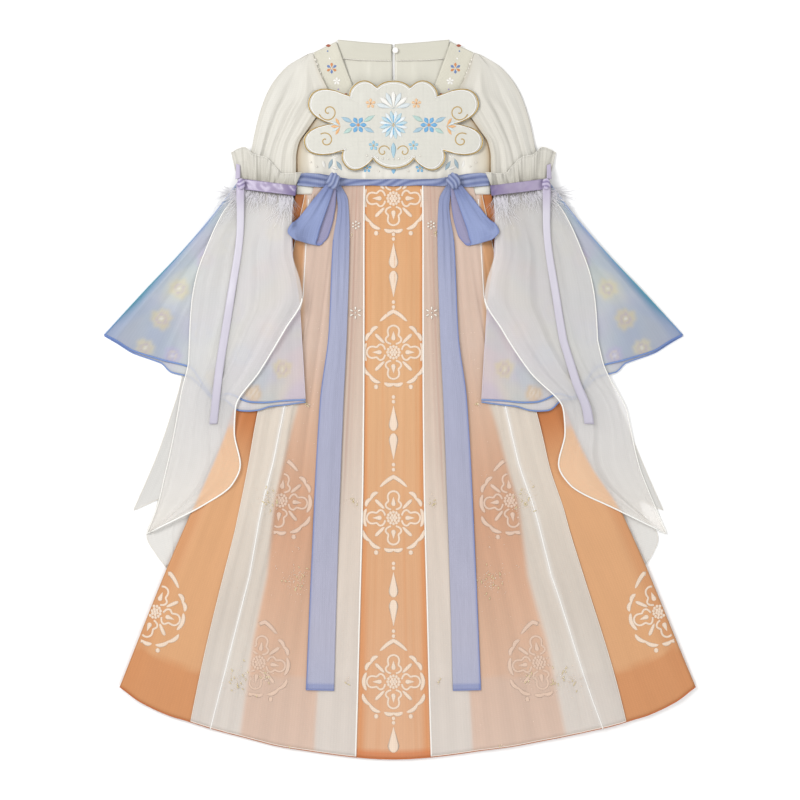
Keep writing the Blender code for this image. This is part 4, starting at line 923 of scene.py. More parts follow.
def feather_trim(suffix, side):
    """Locks of down under the ribbon, each of many fine curved barbs that taper to a point."""
    chance = random.Random(7)
    x0, y0 = BAND[0][0] + 5.0, BAND[0][1] - 10.5
    x1, y1 = BAND[1][0] - 1.0, BAND[1][1] - 10.5
    length = math.hypot(x1 - x0, y1 - y0)
    along = np.array([x1 - x0, y1 - y0]) / length
    down = np.array([along[1], -along[0]])
    points, faces, dye = [], [], []
    tip, root = linear("#FFFFFF"), linear("#F2EEF6")
    for place, reach, lean in FEATHERS:
        for _ in range(BARBS):
            start = np.array([x0, y0]) + along * length * (place + chance.uniform(-0.035, 0.035))
            start = start + down * chance.uniform(-4, 4)
            turn = math.radians(lean + chance.gauss(0, 15))
            way = along * math.sin(turn) + down * math.cos(turn)
            bend = np.array([-way[1], way[0]]) * chance.uniform(-0.35, 0.35)
            long = reach * chance.uniform(0.35, 1.1)
            base = len(points)
            wide = chance.uniform(0.22, 0.45)
            lift = chance.uniform(0.0, 1.6)
            for step in range(6):
                gone = step / 5
                spot = start + way * long * gone + bend * long * gone**2
                thick = wide * (1 - 0.85 * gone)
                across = np.array([-way[1], way[0]]) * thick
                ground = float(PILE.under(np.array([side * spot[0]]), np.array([spot[1]]))[0])
                z = ground + 0.5 + lift * (1 - 0.5 * gone)
                points += [
                    (side * (spot[0] + across[0]), spot[1] + across[1], z),
                    (side * (spot[0] - across[0]), spot[1] - across[1], z),
                    (side * spot[0], spot[1], z + 1.2 * thick),
                ]
                dye += [mix(root, tip, gone)] * 3
            ring = (0, 1, 2) if side > 0 else (0, 2, 1)
            for step in range(5):
                a = base + 3 * step
                for k in range(3):
                    m, n = ring[k], ring[(k + 1) % 3]
                    faces.append((a + n, a + m, a + m + 3, a + n + 3))
            faces.append((base + ring[0], base + ring[1], base + ring[2]))
            faces.append((base + 15 + ring[2], base + 15 + ring[1], base + 15 + ring[0]))
    made = as_mesh(
        f"feathers_{suffix}", points, faces, DOWN, dye=np.array(dye), cut=np.array(points)[:, :2] * MM,
    )
    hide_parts(f"feather_trim_{suffix}")


def plaque_reach(turn):
    """How far the chest piece reaches at an angle: the farthest of its core and round lobes."""
    degrees = np.degrees(np.arctan2(np.sin(turn), np.abs(np.cos(turn))))
    best = np.full(np.shape(turn), PLAQUE_CORE)
    for place, reach, width in PLAQUE_LOBES:
        away = np.clip(np.abs(degrees - place) / width, 0, 1)
        best = np.maximum(best, PLAQUE_CORE + (reach - PLAQUE_CORE) * (1 - away**2.4) ** 0.5)
    return best


def plaque():
    """The stiff chest piece, worked all over in satin stitch that runs out from its middle."""
    spokes, rings = 216, 16
    turn = np.linspace(0, 2 * math.pi, spokes, endpoint=False)[:, None]
    share = ((np.arange(rings) + 1) / rings)[None, :]
    reach = plaque_reach(turn)
    cx, cy = PLAQUE_CENTRE
    x = cx + share * reach * np.cos(turn)
    y = cy + share * reach * np.sin(turn)
    tree = solid("chest_plaque")
    top = top_of(tree, cx + (x - cx) * 0.985, cy + (y - cy) * 0.985)
    top = np.maximum(top, PILE.under(x, y) + 0.8)
    top = top + 0.25 * np.sin(share * 9.0 * math.pi) * (share < 0.97)
    top[:, -1] -= 0.5
    low = np.maximum(PILE.under(x, y) + 0.15, top - 1.6)
    middle_top = float(top[:, 0].mean()) + 0.2
    upper = np.stack([x, y, top], -1).transpose(1, 0, 2).reshape(-1, 3)
    lower = np.stack([x, y, low], -1).transpose(1, 0, 2).reshape(-1, 3)
    count = len(upper)
    points = np.concatenate([upper, lower, [(cx, cy, middle_top), (cx, cy, middle_top - 1.4)]])
    faces = []
    for k in range(spokes):
        after = (k + 1) % spokes
        faces.append((2 * count, k, after))
        faces.append((2 * count + 1, count + after, count + k))
        for ring in range(rings - 1):
            a, b = ring * spokes + k, ring * spokes + after
            faces.append((a, a + spokes, b + spokes, b))
            faces.append((count + b, count + b + spokes, count + a + spokes, count + a))
        a, b = (rings - 1) * spokes + k, (rings - 1) * spokes + after
        faces.append((a, count + a, count + b, b))
    colour = np.tile(linear("#DFDDD3"), (len(points), 1))
    made = as_mesh("chest_plaque_cloth", points, faces, STITCH, dye=colour, cut=points[:, :2] * MM)
    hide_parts("chest_plaque")
    PILE.put(x, y, top)
    grids = [np.concatenate([0 * g[:, :1] + at, g], 1) for g, at in ((x, cx), (y, cy), (top, middle_top))]
    keep_skin("chest_plaque", *(np.concatenate([g, g[:1]]) for g in grids))


def back_pieces():
    """What lies lowest: backs of the sash, ribbons, veils, bodice, sleeves and skirt."""
    blue = linear("#8A95BE")
    lay("sash_back", sections(SASH_BACK, 8, 60), SASH_CREPE, blue)
    for suffix, side in SIDES:
        lay(
            f"ribbon_band_back_{suffix}", sections(strip(BAND, BAND_WIDTH), 4, 30, side), RIBBON_SATIN,
            linear("#AFA4BE"),
        )
        plan = sections(VEIL_BACK, 36, 80, side, wider=2)
        dye = tones(plan[3], (0.0, "#CDCCC8"), (0.6, "#D8D6D2"), (1.0, "#EAE7E2"))
        lay(f"veil_back_{suffix}", plan, VEIL_SOLID, dye, creases(VEIL_CREASES, plan[2], plan[3]) * 0.7)
    for suffix, side in SIDES:
        plan = side_grid(BACK_SIDE, 34, 54, side, lambda y: np.where(y > 434.0, 1.6, 0.15), -2.0)
        lay(
            f"back_bodice_{suffix}", plan, SATIN, linear("#DDDACC"),
            creases(BACK_CREASES, plan[2], plan[3]),
        )
        seams = [float(half_at(BACK_SIDE, row[1])) for row in UPPER_SLEEVE]
        rows = [
            (max(row[0], seam + 1.0) + 1.0, *row[1:])
            for row, seam in zip(UPPER_SLEEVE, seams, strict=True)
        ]
        lay(f"upper_sleeve_back_{suffix}", sections(rows, 24, 50, side), VEIL_SOLID, linear("#DEDACE"))
    lay("skirt_back", skirt_grid(80, 60), ORANGE, linear("#DDA26C"))


def skirt_pieces():
    """The lining, the white waistband, the printed skirt and the two overskirt panels."""
    hem = {"hem_y": LINING_HEM[0], "rise": LINING_HEM[1], "shape": LINING_SHAPE}
    lay("skirt_lining", skirt_grid(90, 50, 0.02, **hem), LINING, linear("#E3B48C"))
    lay("waistband", sections(WAISTBAND, 4, 90), SATIN, linear("#E9E6DC"))
    plan = skirt_grid(190, 110)
    relief = creases(SKIRT_CREASES, plan[2], plan[3]) + gathers(plan[2], plan[3], 46, 1.0, 0.16, 3)
    lay("skirt_front", plan, ORANGE, skirt_dye(*plan), relief, held="gathered")
    for suffix, side in SIDES:
        plan = overskirt_grid(80, 120, side)
        pleats = gathers(plan[2], plan[3], 15, 0.9, 0.2, 4)
        relief = creases(OVERSKIRT_CREASES, plan[2], plan[3]) + pleats
        lay(f"overskirt_{suffix}", plan, OVERSKIRT, overskirt_dye(*plan), relief, held="gathered")


def neck_pieces():
    """Collar, straps, the front of the bodice, the upper sleeves and the chest piece."""
    for suffix, side in SIDES:
        lay(f"back_collar_{suffix}", sections(COLLAR, 14, 40, side), SATIN, linear("#D8D5C6"))
        lay(f"neck_strap_{suffix}", sections(STRAP, 16, 40, side), STITCH, linear("#DDD9C8"))
    across, down = shares(130, 50, -1.0)
    y = BODICE_SIDE[0][0] + (BODICE_SIDE[-1][0] - BODICE_SIDE[0][0]) * down
    x = across * half_at(BODICE_SIDE, y)
    share = (across + 1) / 2
    # The gold-brown at the side edges is painted shadow along the armholes.
    dye = tones(np.abs(across), (0.0, "#E6E3DA"), (0.8, "#E4E0D5"), (0.95, "#D8CDB8"), (1.0, "#B89F7C"))
    relief = creases(BODICE_CREASES, share, down) + gathers(share, 1 - down, 40, 0.9, 0.35, 5)
    lay("front_bodice", (x, y, share, down), SATIN, dye, relief)
    for suffix, side in SIDES:
        plan = sections(UPPER_SLEEVE, 64, 70, side)
        dye = tones(plan[2], (0.0, "#D9D2C2"), (0.12, "#E6E2D7"), (0.9, "#E6E3DA"), (1.0, "#DDD9CE"))
        pleats = gathers(plan[2], 1 - plan[3], 22, 0.6, 0.35, 6)
        relief = 0.75 * creases(SLEEVE_CREASES, plan[2], plan[3]) + pleats
        lay(f"upper_sleeve_{suffix}", plan, UPPER_SHEER, dye, relief, held="gathered")
    plaque()


def sleeve_pieces():
    """Each sleeve from the bell's back up to the ribbon over the veil."""
    for suffix, side in SIDES:
        plan = sections(BELL, 70, 60, side, BELL_BACK_HEM)
        lay(
            f"bell_back_{suffix}", plan, BELL_SOLID, mix(bell_dye(*plan), linear("#CFC5B8"), 0.3),
            creases(BELL_CREASES, 1 - plan[2], plan[3]) * 0.6,
        )
        plan = sections(INNER_BELL, 50, 40, side, INNER_HEM)
        lay(f"bell_inner_{suffix}", plan, BELL_SOLID, linear("#E4DCCF"))
        plan = sections(BELL, 96, 84, side, BELL_FRONT_HEM)
        relief = creases(BELL_CREASES, plan[2], plan[3]) + gathers(plan[2], plan[3], 20, 1.4, 0.22, 8)
        lay(f"bell_front_{suffix}", plan, BELL_SHEER, bell_dye(*plan), relief, held="gathered")
        plan = sections(FRILL, 8, 150, side)
        wave = 0.6 * (1 - plan[2]) * np.sin(2 * math.pi * (19.0 * plan[3] + 0.5 * np.sin(9 * plan[3])))
        dye = mix(linear("#CFCBBE"), linear("#E4E1D8"), (1 - plan[2]) * 0.8)
        lay(f"frill_{suffix}", plan, UPPER_SHEER, dye, wave, softness=1, held="gathered")
        plan = sections(VEIL, 60, 110, side, wider=1)
        dye = tones(plan[3], (0.0, "#E4E0DC"), (0.45, "#EAE8E6"), (0.6, "#E8E6E6"), (1.0, "#F6F1EA"))
        folded = ease((-30.0 - plan[1]) / 14.0) * ease((plan[1] + 178.0) / 25.0)
        over = spread(side * np.abs(plan[0]), plan[1], way=-1) * side
        within = ease((half_at(SKIRT_SIDE, np.clip(plan[1], -390, 285)) - over) / 4.0)
        dye = mix(dye, linear("#FFDDB4"), 0.85 * folded * within)
        lay(f"veil_front_{suffix}", plan, VEIL_SHEER, dye, creases(VEIL_CREASES, plan[2], plan[3]))
        feather_trim(suffix, side)
        plan = sections(strip(BAND, BAND_WIDTH), 10, 60, side)
        # Painted shade: the band darkens at its inner end and beside the knot, and is lighter between.
        dye = tones(
            plan[3], (0.0, "#6F6190"), (0.10, "#8E80A6"), (0.3, "#A79AB8"), (0.8, "#AA9DBB"),
            (0.93, "#7C6E98"), (1.0, "#8F82A8"),
        )
        relief = 0.5 * np.cos(23 * plan[3] + 4 * plan[2]) * bump(plan[2] - 0.5)
        lay(f"ribbon_band_{suffix}", plan, RIBBON_SATIN, dye, relief)
        plan = sections(RIBBON_TAIL, 5, 90, side, wider=1)
        dye = tones(plan[3], (0.0, "#BDB2CC"), (0.12, "#DCD8E4"), (0.5, "#D6D1DE"), (1.0, "#C9C4D4"))
        lay(f"ribbon_tail_{suffix}", plan, RIBBON_SATIN, dye, 0.4 * np.sin(16 * plan[3]))
        lay_end(suffix, side)


def lay_end(suffix, side):
    """The ribbon's knot and the short cut end above it."""
    tied = f"ribbon_knot_{suffix}"
    plan = sections(RIBBON_END, 3, 16, side)
    top = soften(top_of(solid(f"ribbon_end_{suffix}"), plan[0], plan[1]), 2)
    top = np.maximum(top, PILE.under(plan[0], plan[1]) + 0.65)
    dye = np.broadcast_to(linear("#C9C0D6"), (top.size, 3))
    end = shell(f"ribbon_tip_{suffix}", plan[0], plan[1], top, top - WALL, RIBBON_SATIN, dye)
    x, y, half_x, half_y = RIBBON_KNOT
    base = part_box(tied)[0][2] / MM
    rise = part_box(tied)[1][2] / MM - base
    # The darker colour is painted shade in the knot's folds.
    made = knot(
        f"ribbon_tie_{suffix}", (side * x, y, half_x, half_y), rise, base, RIBBON_SATIN, "#8A7BA8",
        "#CDC3DD", 1.2, 80 * side,
    )
    for piece, node in ((end, f"ribbon_end_{suffix}"), (made, tied)):
        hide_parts(node)


def waist_pieces():
    """The sash across the front: twisted in the middle, in slack folds at the sides."""
    table = np.array(SASH)
    x, share = shares(180, 16, table[0, 0], table[-1, 0])
    upper = np.interp(x, table[:, 0], table[:, 1])
    lower = np.interp(x, table[:, 0], table[:, 2])
    y = upper + (lower - upper) * share
    out = np.abs(x)
    twist = 0.5 + 0.5 * np.sin(
        2 * math.pi * (1.1 * share + x / 27.0 + 0.35 * np.sin(x / 13.0)) + 1.1 * np.sin(x / 31.0 + 1)
    )
    slack = 0.5 + 0.5 * np.sin(4.6 * math.pi * share + 1.1 * np.sin(out / 15.0) + 0.05 * out)
    pull = mix(twist[..., None], slack[..., None], ease((out - 66.0) / 16.0))[..., 0]
    # The colour follows the folds: painted shade in their hollows, lighter on their ridges.
    dye = mix(linear("#6D7AAA"), linear("#9FAAD0"), pull)
    lay("sash_front", (x, y, share, share), SASH_CREPE, dye, 1.3 * pull, softness=3, held="folded")


def bow_pieces():
    """The sash's tails, loops and knots."""
    for suffix, side in SIDES:
        plan = sections(TAIL, 22, 190, side)
        dye = tones(
            plan[3], (0.0, "#8E99C4"), (0.2, "#AEB3D0"), (0.6, "#B3B4CC"), (0.9, "#BDBCD0"),
            (1.0, "#B8BAD2"),
        )
        dye = mix(
            dye, linear("#8390C4"),
            0.6 * ease((plan[3] - 0.985) / 0.003) + 0.5 * bump((plan[2] - 1) / 0.12),
        )
        relief = creases(TAIL_CREASES, plan[2], plan[3])
        lay(f"sash_tail_{suffix}", plan, SASH_CREPE, dye, relief)
        bow_loop(suffix, side)
        node = f"sash_knot_{suffix}"
        low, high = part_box(node)
        x, y, half_x, half_y = SASH_KNOT
        # The darker colour is painted shade in the knot's folds.
        made = knot(
            f"sash_tie_{suffix}", (side * x, y, half_x, half_y), (high[2] - low[2]) / MM, low[2] / MM,
            SASH_CREPE, "#6C79A8", "#A3AED2", 1.7, 35 * side,
        )
        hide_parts(node)


class Drawing:
    """Print or stitching on a cloth: flat strokes that follow its surface, gathered into one piece.
    ROUND goes once round a stroke, by its place across and its rise."""

    ROUND = (
        (-1.0, 0.1), (-0.6, 0.9), (0.0, 1.0), (0.6, 0.9), (1.0, 0.1), (0.7, -0.5), (0.0, -0.5),
        (-0.7, -0.5),
    )

    def __init__(self, node, height=0.2, inside=None):
        self.tree = SKINS[node]
        self.height = height
        self.inside = inside
        self.points, self.faces, self.dye = [], [], []

    def stroke(self, path, width, code):
        """A stroke along plan places, with its half width at each, in one colour."""
        path = np.asarray(path, float)
        width = np.broadcast_to(np.asarray(width, float), (len(path),))
        if self.inside is not None:
            keep = self.inside(path[:, 0], path[:, 1])
            if not keep.all():
                first = 0
                for k in range(len(path) + 1):
                    if k == len(path) or not keep[k]:
                        if k - first > 2:
                            self.lay(path[first:k], width[first:k], code)
                        first = k + 1
                return
        self.lay(path, width, code)

    def lay(self, path, width, code):
        """Puts one unbroken stroke on the cloth."""
        along = np.gradient(path, axis=0)
        size = np.maximum(np.hypot(*along.T), 1e-6)
        normal = np.stack([-along[:, 1], along[:, 0]], 1) / size[:, None]
        across, rise = np.array(self.ROUND).T
        place = path[:, None, :] + normal[:, None, :] * (width[:, None] * across[None, :])[:, :, None]
        z = top_of(self.tree, place[..., 0], place[..., 1]) + self.height * rise[None, :]
        base, n = len(self.points), len(across)
        self.points += np.concatenate([place, z[..., None]], -1).reshape(-1, 3).tolist()
        self.dye += [linear(code)] * (len(path) * n)
        for k in range(len(path) - 1):
            for m in range(n):
                a, b = base + k * n + m, base + k * n + (m + 1) % n
                self.faces.append((b, a, a + n, b + n))
        last = base + (len(path) - 1) * n
        self.faces.append(tuple(range(base, base + n)))
        self.faces.append(tuple(range(last + n - 1, last - 1, -1)))

    def leaf(self, x, y, degrees, length, half, code, fullest=0.5):
        """A pointed drop from a place, fullest at a share of its length."""
        turn = math.radians(degrees)
        t = np.linspace(0.0, 1.0, 11)
        path = np.stack([x + length * t * math.cos(turn), y + length * t * math.sin(turn)], 1)
        power = math.log(0.5) / math.log(fullest)
        self.stroke(path, half * np.maximum(np.sin(math.pi * t**power), 0.06), code)

    def drop(self, x, y, degrees, length, half, code):
        """A teardrop from its point, round at its other end."""
        turn = math.radians(degrees)
        t = np.linspace(0, 0.995, 15) * 0.5 + 0.5 * np.sin(np.linspace(0, math.pi / 2, 15)) * 0.995
        path = np.stack([x + length * t * math.cos(turn), y + length * t * math.sin(turn)], 1)
        full = np.where(
            t < 0.72, (t / 0.72) ** 0.9, np.sqrt(np.clip(1 - ((t - 0.72) / 0.28) ** 2, 0.02, 1)),
        )
        self.stroke(path, half * np.maximum(full, 0.08), code)

    def dot(self, x, y, radius, code):
        """A round spot."""
        t = np.linspace(-0.98, 0.98, 9)
        path = np.stack([x + 0 * t, y + radius * t], 1)
        self.stroke(path, radius * np.sqrt(1 - t**2), code)

    def blossom(self, x, y, radius, petals, outer, inner, heart, turn=90.0):
        """Petals in two colours round a heart."""
        for k in range(petals):
            self.leaf(x, y, turn + 360.0 * k / petals, radius, radius * 1.5 / petals, outer, 0.66)
            self.leaf(x, y, turn + 360.0 * k / petals, radius * 0.62, radius * 0.5 / petals, inner, 0.6)
        self.dot(x, y, radius * 0.2, heart)

    def spiral(self, x, y, size, degrees, turns, code, half=0.55, way=1):
        """A scroll that opens outwards."""
        t = np.linspace(0.12, 1.0, 26)
        turn = math.radians(degrees) + way * 2 * math.pi * turns * t
        self.stroke(np.stack([x + size * t * np.cos(turn), y + size * t * np.sin(turn)], 1), half, code)

    def make(self, name, cloth):
        """Turns all strokes so far into one piece."""
        points = np.array(self.points)
        made = as_mesh(name, points, self.faces, cloth, dye=np.array(self.dye), cut=points[:, :2] * MM)
        return made


# Where each arc starts and ends in degrees from the top, its lobes, and its reach in the middle.
RING_ARCS = (
    (-24, 24, 1, 47.0), (31, 68, 2, 41.0), (71, 108, 1, 39.5), (111, 157, 2, 45.5), (163, 197, 2, 44.0),
    (203, 249, 2, 45.5), (252, 289, 1, 39.5), (292, 329, 2, 41.0),
)
PETAL = (
    (11.0, 2.6), (12.5, 7.0), (15.0, 10.2), (18.5, 10.8), (21.0, 8.6), (23.0, 6.4), (26.5, 7.6),
    (30.5, 7.9), (34.5, 5.6), (36.6, 0.0),
)
PRINT = "#F3DCC6"
FAINT_PRINT = "#E4C6B1"  # the same print as it shows through the overskirt


def medallion(drawing, cx, cy, tilt=0.0, code=PRINT):
    """A pointed ring of broken scalloped arcs round a rosette of four lobed petals."""
    lean = math.radians(tilt)

    def place(x, y):
        x, y = np.asarray(x, float), np.asarray(y, float)
        return np.stack(
            [cx + x * math.cos(lean) - y * math.sin(lean), cy + x * math.sin(lean) + y * math.cos(lean)], 1,
        )

    steps = np.linspace(0, 1, 19)
    for start, end, lobes, reach in RING_ARCS:
        turn = np.radians(start + (end - start) * steps)
        peak = 8.0 * np.clip(1 - np.abs(np.degrees(turn)) / 22.0, 0, 1) ** 1.3
        swell = np.abs(np.sin(lobes * math.pi * steps))
        far = reach + peak + 1.6 * (swell - 0.5)
        half = (1.7 + 1.3 * swell) * np.sqrt(1.03 - (2 * steps - 1) ** 8)
        drawing.stroke(place(far * np.sin(turn), far * np.cos(turn)), half, code)
    out, wide = np.array(PETAL).T
    for k in range(4):
        spin = math.pi / 2 * k
        along = np.concatenate([out, out[-2::-1]])
        side = np.concatenate([-wide, wide[-2::-1]])
        knots = np.arange(len(along))
        fine = np.linspace(0, len(along) - 1, 49)
        u, v = curve(knots, along, fine), np.interp(fine, knots, side)
        u, v = soften(np.stack([u, u]), 3)[0], soften(np.stack([v, v]), 3)[0]
        drawing.stroke(
            place(u * math.sin(spin) + v * math.cos(spin), u * math.cos(spin) - v * math.sin(spin)), 1.45,
            code,
        )
        (foot_x, foot_y), = place([28.5 * math.sin(spin)], [28.5 * math.cos(spin)])
        drawing.drop(foot_x, foot_y, -90 - 90 * k + tilt, 12.5, 3.5, code)
        bar = np.linspace(17.5, 35.0, 9)
        slant = spin + math.pi / 4
        drawing.stroke(
            place(bar * math.sin(slant), bar * math.cos(slant)),
            (0.9, 1.7, 2.2, 2.4, 2.5, 2.6, 2.6, 2.2, 1.0), code,
        )
    for ring, count in ((0.0, 1), (3.9, 6), (7.9, 12)):
        for k in range(count):
            turn = 2 * math.pi * k / count
            (dot_x, dot_y), = place([ring * math.cos(turn)], [ring * math.sin(turn)])
            drawing.dot(dot_x, dot_y, 2.15, code)
    for way in (-1, 1):
        (dot_x, dot_y), = place([way * 23.5], [-47.0])
        drawing.dot(dot_x, dot_y, 3.2, code)


# How far from the middle line, height, tilt in degrees.
SIDE_MEDALLIONS = ((324.0, -288.0, 22.0), (183.0, -357.0, 9.0), (153.0, -137.0, 7.0), (108.0, 75.0, 4.0))
MEDALLIONS = (272.7, 64.1, -160.8, -383.4)
# The middles between them, and the dots above and below each.
DROPS = ((176.5, -44.3, -270.4), (47.7, 41.3, -44.2, -51.0))


def inside_skirt(x, y):
    """Whether a place is on the skirt, clear of its side edge and its top."""
    edge = half_at(SKIRT_SIDE, np.clip(y, -390.5, 285)) - 2.5
    return (np.abs(spread(x, y, way=-1)) < edge) & (y < 290)


def inside_peach(x, y):
    """Whether a place is on the peach strip of the overskirt, through which the print shows."""
    away = np.abs(spread(x, y, way=-1))
    heights, first, second = np.array(STRIPES).T
    return (away > np.interp(-y, -heights, first) + 2) & (away < np.interp(-y, -heights, second) - 2)


def skirt_print():
    """Flowers, drops and dots down the middle and up the sides, and faintly on the overskirt."""
    drawing = Drawing("skirt_front", 0.16, inside_skirt)
    for height in MEDALLIONS:
        medallion(drawing, 0.0, height)
    for middle in DROPS[0]:
        for dot in DROPS[1]:
            drawing.dot(0.0, middle + dot, 2.6, PRINT)
        drawing.drop(0.0, middle + 35.5, -90, 34.0, 6.6, PRINT)
        drawing.drop(0.0, middle - 37.0, 90, 35.5, 6.4, PRINT)
    for dot in (-433.4, -439.2):
        drawing.dot(0.0, dot, 2.6, PRINT)
    drawing.drop(0.0, -445.4, -90, 34.5, 8.0, PRINT)
    for _, side in SIDES:
        for away, height, tilt in SIDE_MEDALLIONS:
            medallion(drawing, spread_one(side * away, height), height, side * tilt)
    drawing.make("skirt_print", PRINT_INK)
    for suffix, side in SIDES:
        drawing = Drawing(f"overskirt_{suffix}", 0.12, inside_peach)
        for away, height, tilt in SIDE_MEDALLIONS[1:3]:
            medallion(drawing, spread_one(side * away, height), height, side * tilt, FAINT_PRINT)
        drawing.make(f"overskirt_print_{suffix}", PRINT_INK)


def painted_armhole_shadows():
    """Gold-brown tubes of painted shadow where the bodice meets the sleeve."""
    y = np.linspace(308.0, 378.0, 14)
    half = half_at(BODICE_SIDE, y)
    for suffix, side in SIDES:
        z = [
            on_cloth("front_bodice", side * (reach - 2.5), height, -0.1)
            for reach, height in zip(half, y)
        ]
        # Painted shadow: a gold-brown tube in the gap between the bodice and the sleeve.
        tube(
            f"painted_armhole_shadow_{suffix}", np.stack([side * (half + 0.7), y, z], 1), 0.9, SATIN, "#B2946A",
        )


def run_along(path):
    """How far along a line each of its points is."""
    return np.concatenate([[0], np.cumsum(np.linalg.norm(np.diff(path, axis=0), axis=1))])


def tube(name, path, radius, cloth, code, rings=6):
    """A rolled edge or cord along a line of places in space."""
    path = np.asarray(path, float)
    radius = np.broadcast_to(radius, (len(path),))
    along = np.gradient(path, axis=0)
    along /= np.maximum(np.linalg.norm(along, axis=1, keepdims=True), 1e-9)
    out = np.stack([-along[:, 1], along[:, 0], 0 * along[:, 0]], 1)
    out /= np.maximum(np.linalg.norm(out, axis=1, keepdims=True), 1e-9)
    up = np.cross(along, out)
    turn = 2 * math.pi * np.arange(rings) / rings
    around = out[:, None] * np.cos(turn)[None, :, None] + up[:, None] * np.sin(turn)[None, :, None]
    points = (path[:, None] + around * radius[:, None, None]).reshape(-1, 3)
    faces = []
    for k in range(len(path) - 1):
        for m in range(rings):
            a, b = k * rings + m, k * rings + (m + 1) % rings
            faces.append((a, b, b + rings, a + rings))
    last = (len(path) - 1) * rings
    faces.append(tuple(range(rings - 1, -1, -1)))
    faces.append(tuple(range(last, last + rings)))
    codes = [code] if isinstance(code, str) else code
    shades = np.stack([linear(c) for c in codes])
    place = np.linspace(0, len(codes) - 1, len(path))
    dye = np.stack([np.interp(place, np.arange(len(codes)), shades[:, k]) for k in range(3)], 1)
    run = run_along(path)
    cut = np.stack([np.repeat(run, rings), np.tile(turn * radius.mean(), len(path))], 1) * MM
    made = as_mesh(name, points, faces, cloth, dye=np.repeat(dye, rings, 0), cut=cut)
    return made


def edge_line(node, edge, start=0.0, end=1.0, inset=0.0):
    """Places along one edge of a laid sheet: inner, outer, top or foot."""
    p = np.stack(SURFACES[node], -1)
    line = {"inner": p[0], "outer": p[-1], "top": p[:, 0], "foot": p[:, -1]}[edge]
    near = {"inner": p[1], "outer": p[-2], "top": p[:, 1], "foot": p[:, -2]}[edge]
    way = near - line
    way /= np.maximum(np.linalg.norm(way, axis=1, keepdims=True), 1e-9)
    line = line + way * inset
    count = len(line)
    return line[int(start * (count - 1)) : int(end * (count - 1)) + 1]


BELL_HEM_BLUES = ("#8098C8", "#6E8CC6", "#7C96CB", "#6480BE")
BELL_SIDE_BLUES = ("#A9B3D0", "#8FA6CC", "#5B9BB0", "#4C93A8", "#7392C6")
EDGES = (  # name, sheet, its edge, radius, cloth, colours, slot, where it starts and ends
    ("overskirt_piping", "overskirt", "inner", 1.15, PIPING, "#FBF8F2", "overskirt_organza", 0.0, 1.0),
    ("overskirt_hem", "overskirt", "foot", 0.6, PIPING, "#F6E8DC", "overskirt_organza", 0.0, 1.0),
    ("overskirt_outer_edge", "overskirt", "outer", 0.5, PIPING, "#F1E8DD", "overskirt_organza", 0.0, 1.0),
    ("veil_inner_piping", "veil_front", "inner", 1.1, PIPING, "#FDFCF8", "veil_organza", 0.3, 1.0),
    ("veil_outer_piping", "veil_front", "outer", 0.8, PIPING, "#FBF9F3", "veil_organza", 0.03, 1.0),
    ("veil_foot_piping", "veil_front", "foot", 0.8, PIPING, "#FBF9F3", "veil_organza", 0.0, 1.0),
    ("veil_back_outer_edge", "veil_back", "outer", 0.55, PIPING, "#E9E4DA", "veil_organza", 0.0, 1.0),
    ("veil_back_foot_edge", "veil_back", "foot", 0.55, PIPING, "#E9E4DA", "veil_organza", 0.0, 1.0),
    ("bell_hem", "bell_front", "foot", 1.25, PIPING, BELL_HEM_BLUES, "bell_organza", 0.0, 1.0),
    ("bell_back_hem", "bell_back", "foot", 1.0, PIPING, BELL_HEM_BLUES, "bell_organza", 0.0, 1.0),
    ("bell_outer_edge", "bell_front", "outer", 0.9, PIPING, BELL_SIDE_BLUES, "bell_organza", 0.0, 1.0),
    ("bell_inner_edge", "bell_front", "inner", 0.6, PIPING, "#D9D0D8", "bell_organza", 0.0, 1.0),
    ("inner_sleeve_hem", "bell_inner", "foot", 1.0, PIPING, "#FFFFFA", "cream_satin", 0.0, 1.0),
    ("tail_hem", "sash_tail", "foot", 0.8, SASH_ROLL, "#8C98CC", "blue_sash", 0.0, 1.0),
    ("tail_outer_edge", "sash_tail", "outer", 0.6, SASH_ROLL, "#7E92CE", "blue_sash", 0.1, 1.0),
    ("frill_edge", "frill", "inner", 0.45, PIPING, "#ECE9E0", "cream_satin", 0.0, 1.0),
    ("strap_edge", "neck_strap", "outer", 0.7, PIPING, "#F1EEE4", "cream_satin", 0.0, 0.93),
    ("collar_edge", "back_collar", "outer", 0.5, PIPING, "#F1EEE4", "cream_satin", 0.0, 1.0),
)


def pipings():
    """Rolled hems and corded edges."""
    for suffix, side in SIDES:
        for label, node, edge, radius, cloth, code, slot, start, end in EDGES:
            line = edge_line(f"{node}_{suffix}", edge, start, end, radius * 0.6)
            tube(f"{label}_{suffix}", line - (0, 0, 0.2), radius, cloth, code)
        rows, out = np.array(FOLD_LINE).T
        y = np.linspace(rows[0], -HALF_LENGTH + 40, 150)
        x = spread(side * np.interp(-y, -rows, out), y)
        z = top_of(SKINS[f"overskirt_{suffix}"], x, y)
        tube(
            f"overskirt_pressed_edge_{suffix}", np.stack([x, y, z - 0.15], 1), 0.75, PIPING, "#FBF9F5",
        )
    line = edge_line("skirt_front", "foot", inset=0.6)
    tube(
        "skirt_hem_roll", line - (0, 0, 0.3), 0.9, ORANGE_ROLL,
        ("#C96A33", "#CC7A45", "#CB7138", "#CC7A45", "#C96A33"),
    )


